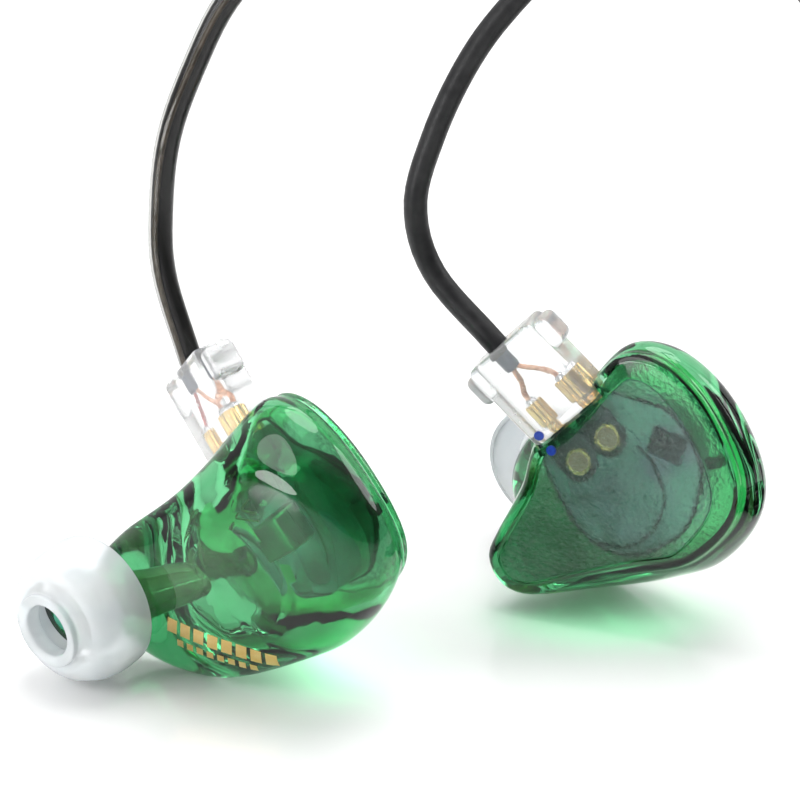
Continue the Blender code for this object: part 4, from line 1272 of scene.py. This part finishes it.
def strand_points(frame, line, strand):
    """One strand's line: wound round the wire's own line, now closer to it and now further."""
    _, across, normal = plug_axes()
    points = []
    for index, point in enumerate(line):
        turn = 0.42 * index + math.tau * strand / STRANDS
        swell = 0.17 + 0.08 * math.sin(0.5 * index + strand)
        offset = (across * math.cos(turn) + normal * math.sin(turn)) * swell
        points.append(frame.point(point + offset))
    return points


def make_plug_wires(frame, paint):
    """Twisted strands from each barrel to the cable, with a drop of solder on each barrel."""
    finishes = ("red_wire", "copper") if frame.prefix == "right" else ("copper", "copper")
    for number, across in enumerate((-PIN_SPREAD, PIN_SPREAD), start=1):
        route = [plug_point(BARREL_LENGTH + 0.2, across, PIN_HEIGHT),
                 plug_point(4.6, across * 0.9, -0.1), plug_point(5.6, across * 0.55 - 0.2, -0.25),
                 plug_point(6.6, across * 0.25 - 0.5), plug_point(7.5, -0.7)]
        line = spread(curve_through(route, 16), 40)
        for strand in range(STRANDS):
            item = tube(f"{frame.prefix}_strand_{number}_{strand + 1}",
                        strand_points(frame, line, strand), 0.12, paint[finishes[number - 1]], 8)
            solids = [] if strand else [f"{frame.prefix}_plug_wire_{number}"]
            settle(item, frame.prefix + "_plug", "tinned_copper", *solids)
        drop = lathe(f"{frame.prefix}_solder_{number}",
                     frame.point(plug_point(BARREL_LENGTH - 0.05, across, PIN_HEIGHT)),
                     frame.way(plug_axes()[0]), SOLDER_PROFILE, paint["solder"], 24)
        settle(drop, frame.prefix + "_plug", "steel")


def make_mark(frame, shell, paint):
    """A plain gold mark on the shell: one row of tall bars over one row of short bars."""
    surface = BVHTree.FromObject(shell, bpy.context.evaluated_depsgraph_get())
    shape = bmesh.new()
    start = Vector(MARK_START)
    along = Vector(MARK_WAY).normalized()
    up = Vector((-along.y, along.x, 0.0))
    for lead, drop, height, count, pitch, width in MARK_ROWS:
        for number in range(count):
            left = start + along * (lead + pitch * number) + up * drop
            add_patch(shape, frame, surface, left, along * width, up * height)
    item = new_object(frame.prefix + "_gold_mark", shape, paint["gold"])
    settle(item, ROOT, "gold_plate")


def add_patch(shape, frame, surface, corner, wide, tall):
    """A thin patch that follows the shell's surface."""
    way = frame.way(UP)
    columns, lines = 3, 5
    layers = []
    for lift in (0.03, 0.005):
        grid = []
        for line in range(lines):
            for column in range(columns):
                place = corner + wide * (column / (columns - 1)) + tall * (line / (lines - 1))
                start = frame.point((place.x, place.y, -30.0))
                hit, normal, _, _ = surface.ray_cast(start, way)
                if hit is None:
                    return
                grid.append(shape.verts.new(hit + normal * lift * MM))
        layers.append(grid)
    for grid in layers:
        for line in range(lines - 1):
            for column in range(columns - 1):
                index = line * columns + column
                shape.faces.new([grid[index], grid[index + 1], grid[index + columns + 1],
                                 grid[index + columns]])
    edge = list(range(columns)) + [line * columns + columns - 1 for line in range(1, lines)]
    edge += [(lines - 1) * columns + column for column in range(columns - 2, -1, -1)]
    edge += [line * columns for line in range(lines - 2, 0, -1)]
    for first, second in zip(edge, edge[1:] + edge[:1]):
        shape.faces.new([layers[0][first], layers[0][second], layers[1][second],
                         layers[1][first]])


def repaint_nodes(frame, nodes, paint):
    """Give the CAD nodes whose shapes are right their finished materials."""
    mark = paint["blue" if frame.prefix == "left" else "red"]
    finishes = {"nozzle_screen": paint["lens"],
                "lead_wire_1": paint["copper"], "lead_wire_2": paint["copper"],
                "socket_dot": mark, "plug_dot": mark}
    for name, material in finishes.items():
        node = nodes[f"{frame.prefix}_{name}"]
        node.data.materials.clear()
        node.data.materials.append(material)


def main():
    frame_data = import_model()
    make_camera()
    paint = make_materials()
    make_cable(paint)
    for prefix in MONITORS:
        frame = Frame(prefix)
        shell = make_shell(frame, paint)
        make_faceplate(frame, paint)
        make_socket(frame, paint)
        make_contacts(frame, paint)
        make_driver(frame, paint)
        make_horn(frame, paint)
        make_tip(frame, paint)
        make_plug_body(frame, paint)
        make_pins(frame, paint)
        make_plug_wires(frame, paint)
        make_hook(frame, paint)
        make_mark(frame, shell, paint)
        repaint_nodes(frame, frame_data["nodes"], paint)
    make_stage()


main()
